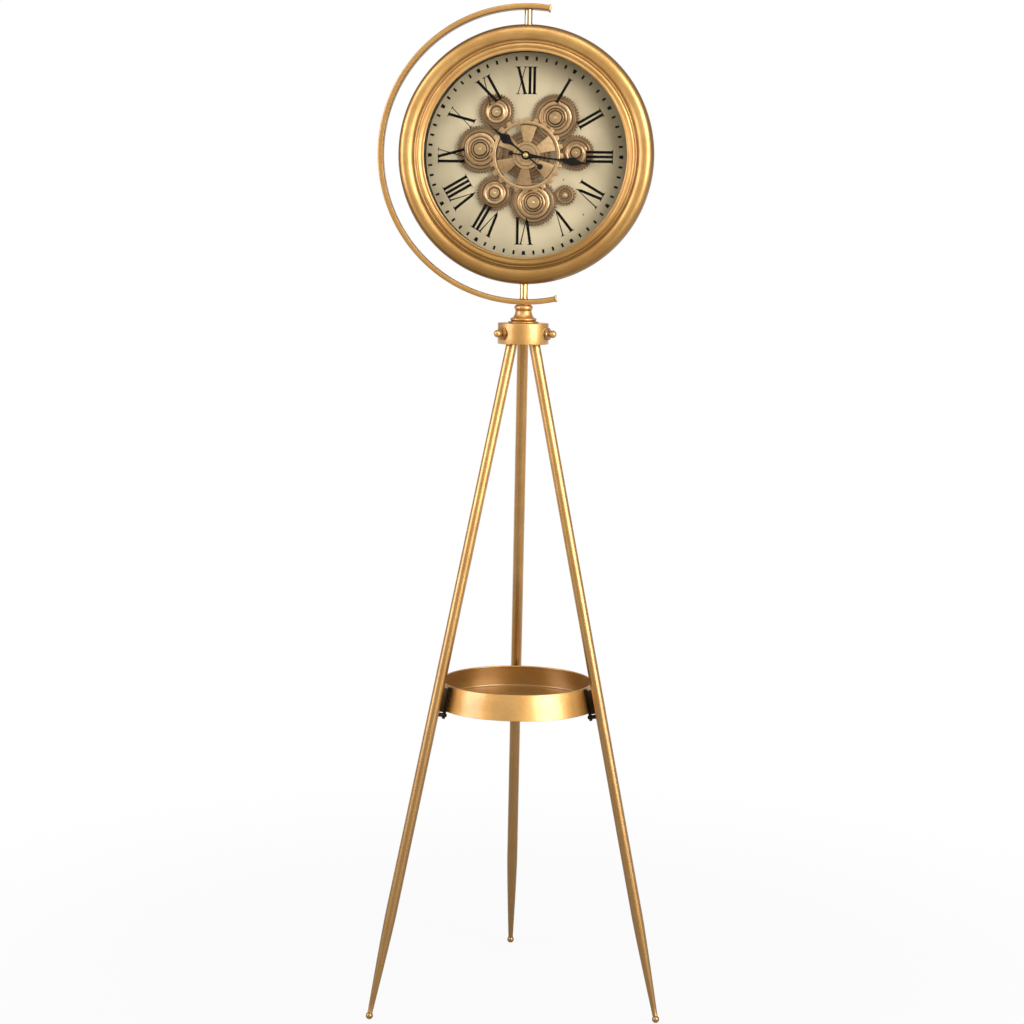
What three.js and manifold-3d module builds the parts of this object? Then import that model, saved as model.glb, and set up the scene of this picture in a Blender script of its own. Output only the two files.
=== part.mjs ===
// Tripod floor clock: a round gear clock that swivels in a C-shaped arc on a tripod with a round tray.
// Millimetres, +Z up, the clock face looks along -Y. The origin is on the floor, at the middle of the
// clock's bounding box. "Front" distances are measured from the swivel axis towards the viewer.

import * as THREE from 'three';
import { mergeVertices } from 'three/addons/utils/BufferGeometryUtils.js';
import Module from 'manifold-3d';

const wasm = await Module();
wasm.setup();

const FIT = 0.3; // gap between pieces that touch
const OVERCUT = 1; // how far a cutting shape runs past what it cuts

// Stand
const TRIPOD_TURN = THREE.MathUtils.degToRad(6.7); // the stand is turned a little under the head
const ARC_TURN = THREE.MathUtils.degToRad(4);
const FOOT_CIRCLE_R = 250;
const FOOT_BALL_R = 5.5;
const FOOT_FLAT = 0.5; // how much of each ball is cut flat
const FOOT_PEG_R = 2.2;
const FOOT_PEG_LENGTH = 8;
const BORE_SPARE = 1; // how far a blind bore runs past what sits in it
const LEG_R = 8.4;
const LEG_END_R = 3.8;
const LEG_TAPER = 150; // length of the tapered end, along the leg
const LEG_SWELL = 0.5; // how far the middle of the taper bulges
const LEG_TOP_R = 19.7; // leg axis from the stand's axis, at the collar's lower edge
const LEG_TOP_SPARE = 1; // between the legs' upper ends and the centre bolt's head

const COLLAR_Z = 1016;
const COLLAR_HEIGHT = 32;
const COLLAR_R = 38.6;
const COLLAR_WALL = 2.6;
const COLLAR_TOP = 4;
const COLLAR_EDGE = 1.5;

const BOLT_R = 3;
const BOLT_BALL_R = 5.8;
const BOLT_NECK_R = 4;
const LEG_NUT_R = 10.4; // across corners, halved
const LEG_NUT_THICK = 3.6;
const BOLT_STAND_OFF = 9.6; // ball centre from the collar's wall
const BOLT_TURN = 6.5; // degrees that the bolts stand round from the legs' middles
const BOLT_IN_LEG = 5;

const TRAY_TOP_Z = 499;
const TRAY_HEIGHT = 38;
const TRAY_LEG_GAP = 12.05; // level distance from the pan's rim to the legs
const TRAY_WALL = 1.6;
const TRAY_FLOOR_LIFT = 4; // floor's top above the pan's lower edge
const TRAY_FLOOR_THICK = 2;

const BRACKET_WIDTH = 14;
const BRACKET_PLATE = 2.6;
const BRACKET_RIB = 5;
const BRACKET_DROP = 11; // how far the bracket hangs below the pan
const BRACKET_TOP_GAP = 1.5; // rim's edge above the bracket's upper end
const SCREW_R = 2.4;
const SCREW_HEAD_R = 4.6;
const SCREW_HEAD = 3.4;
const SCREW_IN_LEG = 5;
const SCREW_UP = 5.5; // screw's height above the bracket's lower end
const SPACER_R = 3.7;

const POST_HEIGHT = 26.8; // turned post between the collar and the arc
const POST_BASE_R = 23;
const POST_BEAD_R = 19.6;
const POST_WAIST_R = 12.5;
const POST_TOP_BEAD_R = 14.1;
const POST_NECK_R = 9.5; // where the post meets the arc
const CENTRE_BOLT_R = 3;
const CENTRE_BOLT_HEAD_R = 6.5;
const CENTRE_BOLT_HEAD = 5;

const ARC_THICK = 8;
const ARC_DEPTH = 24;
const ARC_EDGE = 1.8; // rounding of the bar's long edges
const ARC_TOP_REACH = THREE.MathUtils.degToRad(8); // how far the ends run past the swivel axis
const ARC_BOTTOM_REACH = THREE.MathUtils.degToRad(12.4);
const CAP_FLANGE = 1.2;
const CAP_THICK = 2.6;
const CAP_TONGUE = 7;
const TUBE_WALL = 2;

// Head
const HEAD_R = 191.8; // widest radius of the bezel
const ROLL_PROUD = 0.4; // how far the bezel's roll stands past its side wall
const PIVOT_LENGTH = 22.4;
const PIVOT_R = 5.85;
const STUD_R = 2.9;
const STUD_IN_ARC = 5;
const STUD_IN_CASE = 2; // how far a stud runs past the case's wall
const PIN_IN_POST = 12;

const ROLL_BACK = 1; // front distance where the roll starts
const WIDEST_FRONT = 8; // front distance of its widest ring
const CREST_IN = 12.2; // its crest, in from the widest radius
const CREST_FRONT = 28;
const ROLL_WIDTH = 23.4;
const LIP_WIDTH = 16.2; // from the roll's inner edge to the opening
const LIP_FRONT = 21.5;
const LIP_THICK = 1.7;
const SHEET = 2.4; // thickness of the bezel
const BEZEL_BACK = -8;
const ROUND = 44; // facets round the large rings
const MIDDLE = 20; // round the middling ones
const FINE = 12; // and round the small ones

const GLASS_COVERED = 6.8; // width of glass behind the lip
const GLASS_THICK = 3;
const DIAL_FRONT = -12; // front distance of the dial's face
const DIAL_COVERED = 7; // width of dial behind the black wall
const DIAL_THICK = 1.5;
const WALL_OUT = 0.8; // black wall between dial and glass, out from the lip's edge
const WALL_THICK = 1.6;
const WALL_FLANGE_WIDTH = 11;
const WALL_FLANGE = 2;

const CASE_THICK = 2;
const CASE_FRONT = 5;
const CASE_STEP = -9; // behind this the case is narrower
const CASE_REAR_IN = 8.4; // how far it is narrower than the bezel
const CASE_BACK = -46;
const SHELF_WIDTH = 14; // width of shelf behind the dial
const SHELF_THICK = 2;
const LUG_SIZE = 12;
const LUG_DEPTH = 16;
const COVER_THICK = 1.6;
const COVER_HOLE_R = 62;
const COVER_SCREW_R = 1.8;
const COVER_SCREW_HEAD_R = 3.8;
const COVER_SCREW_HEAD = 2.2;
const COVER_SCREW_IN_LUG = 10;

// Gear train, seen from the front: heights are above the dial's face
const MODULE = 1.43;
const TOOTH = 2; // height of a fine tooth
const MESH_GAP = 0.45; // added to each pair's centre distance
const RIM_LOW = 2.5;
const RIM_THICK = 3.5;
const LARGE_BOSS_R = 13.9; // radius of the raised middle of a large gear
const ARBOR_R = 2;
const ARBOR_GAP = 0.35;
const GEAR_PLATE_R = 118;
const GEAR_PLATE_THICK = 2;
const GEAR_CAP = 2.5; // metal left over an arbor's end

const WHEEL_LIFT = 4; // spoked wheel above the gears' rims
const WHEEL_THICK = 2.8;
const WHEEL_BOSS_GAP = 0.6; // between its teeth and the large gears' raised middles
const WHEEL_TOOTH = 5;
const WHEEL_RIM = 4.8; // width of its rim, inside the teeth
const WHEEL_HUB_R = 20.6;
const WHEEL_HUB_RISE = 2;
const WHEEL_TEETH = 24;
const WHEEL_SPOKES = 6;
const SPOKE_INNER = 12; // spoke's width at the hub
const SPOKE_OUTER = 20.8;
const SPOKE_START = THREE.MathUtils.degToRad(85);

const BUSHING_R = 4.2;
const BUSHING_PROUD = 0.8; // above the spoked wheel's hub
const HOUR_TUBE_R = 2.65;
const MINUTE_ARBOR_R = 1.4;
const HAND_LIFT = 0.6; // hour hand above the bushing
const HAND_THICK = 1;
const HAND_GAP = 2; // between the two hands
const HUB_R = 6.5;
const NUT_R = 4;
const NUT_RISE = 4.2; // top of the nut above the minute hand
const HOUR_HAND = { reach: 76, tail: 27, stem: 2.2, low: 24, mid: 38, high: 50, width: 15, weight: 4.2 };
const MINUTE_HAND = { reach: 95.5, tail: 22.6, stem: 2, low: 52, mid: 70, high: 86, width: 12, weight: 3.4 };
const TIME_HOURS = 10.27; // about a quarter past ten

const MOVEMENT_SIZE = 56;
const MOVEMENT_THICK = 16;
const TUBE_IN_MOVEMENT = 5; // how far the hour hand's tube runs into it
const BATTERY_R = 7.2;
const BATTERY_LENGTH = 50;
const BATTERY_EDGE = 3; // battery bay from the movement's edge
const CONTACT_R = 2.6;
const CONTACT_HIGH = 1.5;
const KNOB_R = 7;
const KNOB_HEIGHT = 6;
const KNOB_OFFSET = 16;
const KNOB_STEM_R = 2;
const KNOB_STEM = 4;
const MOTOR_R = 15;
const MOTOR_THICK = 22;
const SHAFT_IN_MOTOR = 8;

const BRASS = { color: 0xb98a4a, roughness: 0.38, metalness: 1 };
const POLISHED = { color: 0xd2a765, roughness: 0.2, metalness: 1 };
const BRONZE = { color: 0xa9794a, roughness: 0.42, metalness: 1 };
const DARK = { color: 0x3a2614, roughness: 0.5, metalness: 0.8 };
const BLACK = { color: 0x151311, roughness: 0.6, metalness: 0 };
const CREAM = { color: 0xddcaa2, roughness: 0.7, metalness: 0 };
const CLEAR = { color: 0xffffff, roughness: 0.02, metalness: 0, transparent: true, opacity: 0.25 };
const STEEL = { color: 0xb9b6b0, roughness: 0.35, metalness: 1 };

// Worked out from the sizes above
const FOOT_Z = FOOT_BALL_R - FOOT_FLAT;
const LEG_RUN = FOOT_CIRCLE_R - LEG_TOP_R;
const LEG_RISE = COLLAR_Z - FOOT_Z;
const LEG_TILT = Math.atan2(LEG_RUN, LEG_RISE);
const LEG_SLOPE = LEG_RUN / LEG_RISE;
const LEG_SEAT = Math.sqrt(FOOT_BALL_R ** 2 - (FOOT_PEG_R + FIT) ** 2) + FIT; // above the ball's centre
const LEG_IN_COLLAR = COLLAR_HEIGHT - COLLAR_TOP - CENTRE_BOLT_HEAD - LEG_TOP_SPARE;
const TRAY_RIM_R = legRadius(TRAY_TOP_Z) - LEG_R / Math.cos(LEG_TILT) - TRAY_LEG_GAP;
const POST_Z = COLLAR_Z + COLLAR_HEIGHT;
const HEAD_WALL_R = HEAD_R - ROLL_PROUD;
const ARC_INNER_R = HEAD_WALL_R + PIVOT_LENGTH + 2 * FIT;
const ARC_OUTER_R = ARC_INNER_R + ARC_THICK;
const HEAD_Z = POST_Z + POST_HEIGHT + 2 * FIT + ARC_OUTER_R;

const CREST_R = HEAD_R - CREST_IN;
const ROLL_INNER_R = HEAD_R - ROLL_WIDTH;
const LIP_R = ROLL_INNER_R - LIP_WIDTH;
const GLASS_R = LIP_R + GLASS_COVERED;
const GLASS_BACK = LIP_FRONT - LIP_THICK - FIT - GLASS_THICK;
const WALL_R = LIP_R + WALL_OUT;
const WALL_FLANGE_R = WALL_R + WALL_FLANGE_WIDTH;
const DIAL_R = WALL_R + DIAL_COVERED;
const DIAL_BACK = DIAL_FRONT - DIAL_THICK;
const CASE_R = HEAD_WALL_R - SHEET - FIT;
const CASE_REAR_R = HEAD_WALL_R - CASE_REAR_IN;
const STUD_END = HEAD_WALL_R - SHEET - CASE_THICK - STUD_IN_CASE;

const RIM_HIGH = RIM_LOW + RIM_THICK;
const WHEEL_LOW = RIM_HIGH + WHEEL_LIFT;
const WHEEL_HIGH = WHEEL_LOW + WHEEL_THICK;
const BUSHING_TOP = WHEEL_HIGH + WHEEL_HUB_RISE + BUSHING_PROUD;
const HOUR_HAND_LOW = BUSHING_TOP + HAND_LIFT;
const MINUTE_HAND_LOW = HOUR_HAND_LOW + HAND_THICK + HAND_GAP;
const NUT_LOW = MINUTE_HAND_LOW + HAND_THICK + FIT;
const NUT_HIGH = MINUTE_HAND_LOW + HAND_THICK + NUT_RISE;

// Turns a closed three.js geometry into a solid; its faces are made to point outwards
function solid(geometry) {
  const plain = geometry.clone();
  plain.deleteAttribute('normal');
  plain.deleteAttribute('uv');
  const merged = mergeVertices(plain, 1e-4);
  const p = merged.attributes.position.array;
  const faces = [];
  let volume = 0;
  for (let i = 0; i < merged.index.count; i += 3) {
    const [a, b, c] = [0, 1, 2].map((k) => merged.index.getX(i + k));
    if (a === b || b === c || a === c) continue;
    faces.push(a, b, c);
    const [u, v, w] = [a, b, c].map((k) => new THREE.Vector3().fromArray(p, 3 * k));
    volume += u.dot(v.cross(w));
  }
  if (volume < 0) faces.reverse();
  return new wasm.Manifold(new wasm.Mesh({
    numProp: 3,
    vertProperties: new Float32Array(p),
    triVerts: new Uint32Array(faces),
  }));
}

function piece(name, body, look) {
  const mesh = body.getMesh();
  const geometry = new THREE.BufferGeometry();
  geometry.setAttribute('position', new THREE.BufferAttribute(mesh.vertProperties, 3));
  geometry.setIndex(new THREE.BufferAttribute(mesh.triVerts, 1));
  geometry.computeVertexNormals();
  const item = new THREE.Mesh(geometry, new THREE.MeshStandardMaterial(look));
  item.name = name;
  return item;
}

// Turned solids: points are [radius, place on the axis]; rings close on themselves
function turned(points, facets = MIDDLE) {
  const profile = points.map(([r, h]) => new THREE.Vector2(r, h));
  if (points[0][0] > 0) profile.push(profile[0].clone());
  return new THREE.LatheGeometry(profile, facets);
}

// A turned solid about the head's front-to-back axis: points are [radius, front distance]
function turnedFront(points, facets) {
  return turned(points.map(([r, front]) => [r, -front]), facets);
}

// A turned solid about the vertical
function turnedUp(points, facets) {
  return turned(points, facets).rotateX(Math.PI / 2);
}

// An outline drawn as seen from the front, from one front distance to another
function plate(shape, low, high) {
  const geometry = new THREE.ExtrudeGeometry(shape, { depth: high - low, bevelEnabled: false });
  return geometry.rotateX(Math.PI / 2).translate(0, -low, 0);
}

function arcPoints(cx, cy, rx, ry, from, to, steps) {
  return Array.from({ length: steps + 1 }, (_, i) => {
    const angle = THREE.MathUtils.degToRad(from + ((to - from) * i) / steps);
    return [cx + rx * Math.cos(angle), cy + ry * Math.sin(angle)];
  });
}

function outline(points) {
  return new THREE.Shape(points.map(([x, y]) => new THREE.Vector2(x, y)));
}

function roundedBar(width, height, edge) {
  const points = [];
  for (const [sx, sy, start] of [[1, 1, 0], [-1, 1, 90], [-1, -1, 180], [1, -1, 270]]) {
    const [cx, cy] = [sx * (width / 2 - edge), sy * (height / 2 - edge)];
    points.push(...arcPoints(cx, cy, edge, edge, start, start + 90, 1));
  }
  return outline(points);
}

function disc(r, low, high, facets = MIDDLE) {
  return turnedFront([[0, low], [r, low], [r, high], [0, high]], facets);
}

// A plain rod from one height to another along the vertical
function rod(r, low, high, facets = FINE) {
  return turnedUp([[0, low], [r, low], [r, high], [0, high]], facets);
}

const clock = new THREE.Group();
clock.name = 'tripod_floor_clock';

// Legs, feet, tray brackets and their fasteners share one upright plane each, with +X outwards
const SIDES = { front_left: 210, front_right: 330, rear: 90 };

function legRadius(z) {
  return FOOT_CIRCLE_R - (z - FOOT_Z) * LEG_SLOPE;
}

function legBody() {
  const length = LEG_RISE / Math.cos(LEG_TILT) + LEG_IN_COLLAR;
  const bore = FOOT_PEG_R + FIT;
  const boreEnd = LEG_SEAT + FOOT_PEG_LENGTH + BORE_SPARE;
  const leg = solid(turnedUp([
    [0, boreEnd],
    [bore, boreEnd],
    [bore, LEG_SEAT],
    [LEG_END_R, LEG_SEAT],
    [(LEG_R + LEG_END_R) / 2 + LEG_SWELL, LEG_SEAT + LEG_TAPER / 2],
    [LEG_R, LEG_SEAT + LEG_TAPER],
    [LEG_R, length],
    [0, length],
  ], FINE));
  return leg.rotate([0, -THREE.MathUtils.radToDeg(LEG_TILT), 0]).translate([FOOT_CIRCLE_R, 0, FOOT_Z]);
}

function footBody() {
  const ball = solid(new THREE.SphereGeometry(FOOT_BALL_R, 16, 10).rotateX(Math.PI / 2));
  const peg = solid(rod(FOOT_PEG_R, 0, LEG_SEAT + FOOT_PEG_LENGTH))
    .rotate([0, -THREE.MathUtils.radToDeg(LEG_TILT), 0]);
  const floor = solid(new THREE.BoxGeometry(4 * FOOT_BALL_R, 4 * FOOT_BALL_R, FOOT_BALL_R)
    .translate(0, 0, -FOOT_Z - FOOT_BALL_R / 2));
  return ball.add(peg).subtract(floor).translate([FOOT_CIRCLE_R, 0, FOOT_Z]);
}

const BOLT_Z = COLLAR_Z + COLLAR_HEIGHT / 2;
const BOLT_TIP = legRadius(BOLT_Z) + LEG_R / Math.cos(LEG_TILT) - BOLT_IN_LEG;

// A turned solid whose axis runs outwards at one height
function turnedOut(points, z, facets) {
  return turned(points, facets).rotateZ(-Math.PI / 2).translate(0, 0, z);
}

// What drills a hole outwards, from one distance to another
function drill(r, from, to, z) {
  return solid(turnedOut([[0, from], [r, from], [r, to], [0, to]], z, FINE));
}

function legBolt() {
  const ball = COLLAR_R + BOLT_STAND_OFF;
  const neck = COLLAR_R + FIT + LEG_NUT_THICK + FIT;
  const join = -THREE.MathUtils.radToDeg(Math.acos(BOLT_NECK_R / BOLT_BALL_R));
  return solid(turnedOut([
    [0, BOLT_TIP],
    [BOLT_R, BOLT_TIP],
    [BOLT_R, neck],
    [BOLT_NECK_R, neck],
    ...arcPoints(0, ball, BOLT_BALL_R, BOLT_BALL_R, join, 90, 6).slice(0, -1),
    [0, ball + BOLT_BALL_R],
  ], BOLT_Z, FINE));
}

// The collar's wall is round, so a nut's inner face is cut to sit on it
function collarRound(extra) {
  return solid(rod(COLLAR_R + extra, COLLAR_Z - OVERCUT, POST_Z + OVERCUT, ROUND));
}

function legNut() {
  const low = COLLAR_R - COLLAR_WALL;
  const high = COLLAR_R + FIT + LEG_NUT_THICK;
  const nut = solid(new THREE.CylinderGeometry(LEG_NUT_R, LEG_NUT_R, high - low, 6)
    .rotateZ(-Math.PI / 2).translate((low + high) / 2, 0, BOLT_Z));
  const bore = drill(BOLT_R + FIT, low - OVERCUT, high + OVERCUT, BOLT_Z);
  return nut.subtract(bore).subtract(collarRound(FIT));
}

// The pan's wall runs parallel to the legs, so the brackets lie flat between them
const TRAY_LOW_Z = TRAY_TOP_Z - TRAY_HEIGHT;
const TRAY_FLARE = TRAY_HEIGHT * LEG_SLOPE;
const BRACKET_LOW_Z = TRAY_LOW_Z - BRACKET_DROP;
const SCREW_Z = BRACKET_LOW_Z + SCREW_UP;

function trayRadius(z) {
  return TRAY_RIM_R + (TRAY_TOP_Z - z) * LEG_SLOPE;
}

// Bracket, drawn along a leg: X is outwards, square to the leg, and Z runs up along it
const BRACKET_INNER = TRAY_RIM_R * Math.cos(LEG_TILT) + TRAY_TOP_Z * Math.sin(LEG_TILT) + FIT;
const BRACKET_OUTER = legRadius(0) * Math.cos(LEG_TILT) - LEG_R - FIT;

function alongLeg(z) {
  return z / Math.cos(LEG_TILT) - (BRACKET_INNER - FIT) * Math.tan(LEG_TILT);
}

function leaned(body) {
  return body.rotate([0, -THREE.MathUtils.radToDeg(LEG_TILT), 0]);
}

function bracketBody() {
  const low = alongLeg(BRACKET_LOW_Z);
  const high = alongLeg(TRAY_TOP_Z - BRACKET_TOP_GAP);
  const ribLow = alongLeg(TRAY_LOW_Z);
  const bar = (width, from, to, bottom, top) => solid(new THREE.BoxGeometry(to - from, width, top - bottom)
    .translate((from + to) / 2, 0, (bottom + top) / 2));
  const strip = bar(BRACKET_WIDTH, BRACKET_INNER, BRACKET_INNER + BRACKET_PLATE, low, high);
  const rib = bar(BRACKET_RIB, BRACKET_INNER + BRACKET_PLATE / 2, BRACKET_OUTER, ribLow, high - BRACKET_RIB);
  const hole = solid(new THREE.CylinderGeometry(SCREW_R + FIT, SCREW_R + FIT, 4 * BRACKET_PLATE, FINE)
    .rotateZ(Math.PI / 2).translate(BRACKET_INNER, 0, alongLeg(SCREW_Z)));
  const pan = solid(turnedUp([[0, TRAY_LOW_Z], [trayRadius(TRAY_LOW_Z) + FIT, TRAY_LOW_Z],
    [TRAY_RIM_R + FIT, TRAY_TOP_Z], [0, TRAY_TOP_Z]], ROUND));
  return leaned(strip.add(rib).subtract(hole)).subtract(pan);
}

function screwBody() {
  const z = alongLeg(SCREW_Z);
  const seat = BRACKET_INNER - FIT;
  const spacer = BRACKET_INNER + BRACKET_PLATE + FIT;
  const shank = solid(turnedOut([
    [0, seat - SCREW_HEAD / 2],
    [SCREW_R, seat - SCREW_HEAD / 2],
    [SCREW_R, spacer],
    [SPACER_R, spacer],
    [SPACER_R, BRACKET_OUTER],
    [SCREW_R, BRACKET_OUTER],
    [SCREW_R, BRACKET_OUTER + SCREW_IN_LEG],
    [0, BRACKET_OUTER + SCREW_IN_LEG],
  ], z, FINE));
  const head = solid(new THREE.CylinderGeometry(SCREW_HEAD_R, SCREW_HEAD_R, SCREW_HEAD, 6)
    .rotateZ(-Math.PI / 2).translate(seat - SCREW_HEAD / 2, 0, z));
  return leaned(shank.add(head));
}

function drilledLeg() {
  const bolt = drill(BOLT_R + FIT, BOLT_TIP - FIT, COLLAR_R, BOLT_Z).rotate([0, 0, BOLT_TURN]);
  const screwEnd = BRACKET_OUTER + SCREW_IN_LEG + FIT;
  const screw = drill(SCREW_R + FIT, BRACKET_OUTER - OVERCUT, screwEnd, alongLeg(SCREW_Z));
  return legBody().subtract(bolt).subtract(leaned(screw));
}

for (const [side, degrees] of Object.entries(SIDES)) {
  const stand = new THREE.Group();
  stand.rotation.z = THREE.MathUtils.degToRad(degrees) + TRIPOD_TURN;
  stand.add(
    piece(`leg_${side}`, drilledLeg(), BRASS),
    piece(`foot_${side}`, footBody(), BRASS),
    piece(`leg_nut_${side}`, legNut().rotate([0, 0, BOLT_TURN]), BRASS),
    piece(`leg_bolt_${side}`, legBolt().rotate([0, 0, BOLT_TURN]), BRASS),
    piece(`tray_bracket_${side}`, bracketBody(), DARK),
    piece(`tray_screw_${side}`, screwBody(), DARK),
  );
  clock.add(stand);
}

// Tray: a pan that widens downwards
function trayBody() {
  const floor = TRAY_LOW_Z + TRAY_FLOOR_LIFT;
  const under = floor - TRAY_FLOOR_THICK;
  return solid(turnedUp([
    [0, floor],
    [trayRadius(floor) - TRAY_WALL, floor],
    [TRAY_RIM_R - TRAY_WALL, TRAY_TOP_Z],
    [TRAY_RIM_R, TRAY_TOP_Z],
    [TRAY_RIM_R + TRAY_FLARE, TRAY_LOW_Z],
    [TRAY_RIM_R + TRAY_FLARE - TRAY_WALL, TRAY_LOW_Z],
    [trayRadius(under) - TRAY_WALL, under],
    [0, under],
  ], ROUND));
}
clock.add(piece('tray', trayBody(), BRASS));

// Collar: a cap over the legs' upper ends
function collarBody() {
  const inner = COLLAR_R - COLLAR_WALL;
  const ceiling = POST_Z - COLLAR_TOP;
  const hole = CENTRE_BOLT_R + FIT;
  const cup = solid(turnedUp([
    [inner, COLLAR_Z],
    [COLLAR_R - COLLAR_EDGE / 2, COLLAR_Z],
    [COLLAR_R, COLLAR_Z + COLLAR_EDGE],
    [COLLAR_R, POST_Z - COLLAR_EDGE],
    [COLLAR_R - COLLAR_EDGE, POST_Z],
    [hole, POST_Z],
    [hole, ceiling],
    [inner, ceiling],
  ], ROUND));
  const boltHole = drill(BOLT_R + FIT, inner - COLLAR_WALL, COLLAR_R + OVERCUT, BOLT_Z);
  const turn = BOLT_TURN + THREE.MathUtils.radToDeg(TRIPOD_TURN);
  const drilled = (body, degrees) => body.subtract(boltHole.rotate([0, 0, degrees + turn]));
  return Object.values(SIDES).reduce(drilled, cup);
}
clock.add(piece('collar', collarBody(), BRASS));

// The post's profile: each height is a share of the post's own
function postBody() {
  const low = POST_Z + FIT;
  const hole = CENTRE_BOLT_R + FIT;
  const profile = [
    [hole, 0],
    [POST_BASE_R, 0],
    [POST_BASE_R, 0.067],
    [POST_BEAD_R * 0.98, 0.12],
    [POST_BEAD_R, 0.187],
    [POST_BEAD_R * 0.92, 0.254],
    [POST_WAIST_R * 1.21, 0.336],
    [POST_WAIST_R * 1.05, 0.448],
    [POST_WAIST_R, 0.694],
    [POST_TOP_BEAD_R * 0.957, 0.761],
    [POST_TOP_BEAD_R, 0.828],
    [POST_TOP_BEAD_R * 0.9, 0.925],
    [POST_NECK_R, 1],
    [hole, 1],
  ];
  return solid(turnedUp(profile.map(([r, share]) => [r, low + share * POST_HEIGHT]), MIDDLE));
}
clock.add(piece('turned_post', postBody(), BRASS));

function centreBolt() {
  const ceiling = POST_Z - COLLAR_TOP - FIT;
  const arcLow = HEAD_Z - ARC_INNER_R;
  return solid(turnedUp([
    [0, ceiling - CENTRE_BOLT_HEAD],
    [CENTRE_BOLT_HEAD_R, ceiling - CENTRE_BOLT_HEAD],
    [CENTRE_BOLT_HEAD_R, ceiling],
    [CENTRE_BOLT_R, ceiling],
    [CENTRE_BOLT_R, arcLow + PIN_IN_POST],
    [0, arcLow + PIN_IN_POST],
  ], FINE));
}
clock.add(piece('centre_bolt', centreBolt(), STEEL));

// Arc: a rectangular tube bent to a C that is open on the right
class ArcPath extends THREE.Curve {
  constructor(r, from, to) {
    super();
    Object.assign(this, { r, from, to });
  }

  getPoint(t, target = new THREE.Vector3()) {
    const angle = this.from + (this.to - this.from) * t;
    return target.set(this.r * Math.cos(angle), 0, this.r * Math.sin(angle));
  }
}

const ARC_MIDDLE_R = ARC_OUTER_R - ARC_THICK / 2;
const ARC_FROM = Math.PI / 2 - ARC_TOP_REACH;
const ARC_TO = (3 * Math.PI) / 2 + ARC_BOTTOM_REACH;

// The tongue of an end cap, or the pocket it slides into, at one end of the bar
function atArcEnd(geometry, angle, sense) {
  const turn = new THREE.Matrix4().makeBasis(
    new THREE.Vector3(Math.cos(angle), 0, Math.sin(angle)),
    new THREE.Vector3(0, -sense, 0),
    new THREE.Vector3(-Math.sin(angle) * sense, 0, Math.cos(angle) * sense),
  );
  turn.setPosition(ARC_MIDDLE_R * Math.cos(angle), 0, ARC_MIDDLE_R * Math.sin(angle));
  return solid(geometry.applyMatrix4(turn));
}

function arcBody() {
  const path = new ArcPath(ARC_MIDDLE_R, ARC_FROM, ARC_TO);
  const section = roundedBar(ARC_DEPTH, ARC_THICK, ARC_EDGE);
  const frames = path.computeFrenetFrames(1, false);
  const flat = Math.abs(frames.normals[0].y) > 0.5;
  const shape = flat ? section : roundedBar(ARC_THICK, ARC_DEPTH, ARC_EDGE);
  let bar = solid(new THREE.ExtrudeGeometry(shape, { extrudePath: path, steps: 44, bevelEnabled: false }));
  for (const [angle, sense] of [[ARC_FROM, -1], [ARC_TO, 1]]) {
    const depth = 2 * (CAP_TONGUE + OVERCUT);
    const pocket = new THREE.BoxGeometry(ARC_THICK - 2 * TUBE_WALL, ARC_DEPTH - 2 * TUBE_WALL, depth);
    bar = bar.subtract(atArcEnd(pocket, angle, sense));
  }
  const topHole = solid(rod(STUD_R + FIT, ARC_INNER_R - OVERCUT, ARC_INNER_R + STUD_IN_ARC + FIT));
  const lowHole = solid(rod(CENTRE_BOLT_R + FIT, -ARC_OUTER_R - OVERCUT, -ARC_INNER_R + OVERCUT));
  return bar.subtract(topHole).subtract(lowHole);
}

function arcCap(angle, sense) {
  const flange = new THREE.ExtrudeGeometry(roundedBar(ARC_THICK, ARC_DEPTH, ARC_EDGE), {
    depth: CAP_THICK - 2 * CAP_FLANGE,
    bevelEnabled: true,
    bevelThickness: CAP_FLANGE,
    bevelSize: CAP_FLANGE,
    bevelSegments: 2,
  }).translate(0, 0, CAP_FLANGE + FIT);
  const tongue = new THREE.BoxGeometry(
    ARC_THICK - 2 * TUBE_WALL - 2 * FIT,
    ARC_DEPTH - 2 * TUBE_WALL - 2 * FIT,
    CAP_TONGUE + CAP_THICK / 2,
  ).translate(0, 0, FIT + (CAP_THICK / 2 - CAP_TONGUE) / 2);
  return atArcEnd(flange, angle, sense).add(atArcEnd(tongue, angle, sense));
}

const arc = new THREE.Group();
arc.position.z = HEAD_Z;
arc.rotation.z = ARC_TURN;
arc.add(
  piece('arc_bar', arcBody(), BRASS),
  piece('arc_end_cap_top', arcCap(ARC_FROM, -1), BRASS),
  piece('arc_end_cap_bottom', arcCap(ARC_TO, 1), BRASS),
);
clock.add(arc);

// Head: everything below is placed from the middle of the face, on the swivel axis
const head = new THREE.Group();
head.position.z = HEAD_Z;
clock.add(head);

function pivotTop() {
  return solid(turnedUp([
    [0, STUD_END],
    [STUD_R, STUD_END],
    [STUD_R, HEAD_WALL_R + FIT],
    [PIVOT_R, HEAD_WALL_R + FIT],
    [PIVOT_R, ARC_INNER_R - FIT],
    [STUD_R, ARC_INNER_R - FIT],
    [STUD_R, ARC_INNER_R + STUD_IN_ARC],
    [0, ARC_INNER_R + STUD_IN_ARC],
  ], MIDDLE));
}

function pivotBottom() {
  const bore = CENTRE_BOLT_R + FIT;
  const end = -ARC_INNER_R + PIN_IN_POST + FIT;
  return solid(turnedUp([
    [0, -STUD_END],
    [STUD_R, -STUD_END],
    [STUD_R, -HEAD_WALL_R - FIT],
    [PIVOT_R, -HEAD_WALL_R - FIT],
    [PIVOT_R, -ARC_INNER_R + FIT],
    [bore, -ARC_INNER_R + FIT],
    [bore, end],
    [0, end],
  ], MIDDLE));
}

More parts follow.
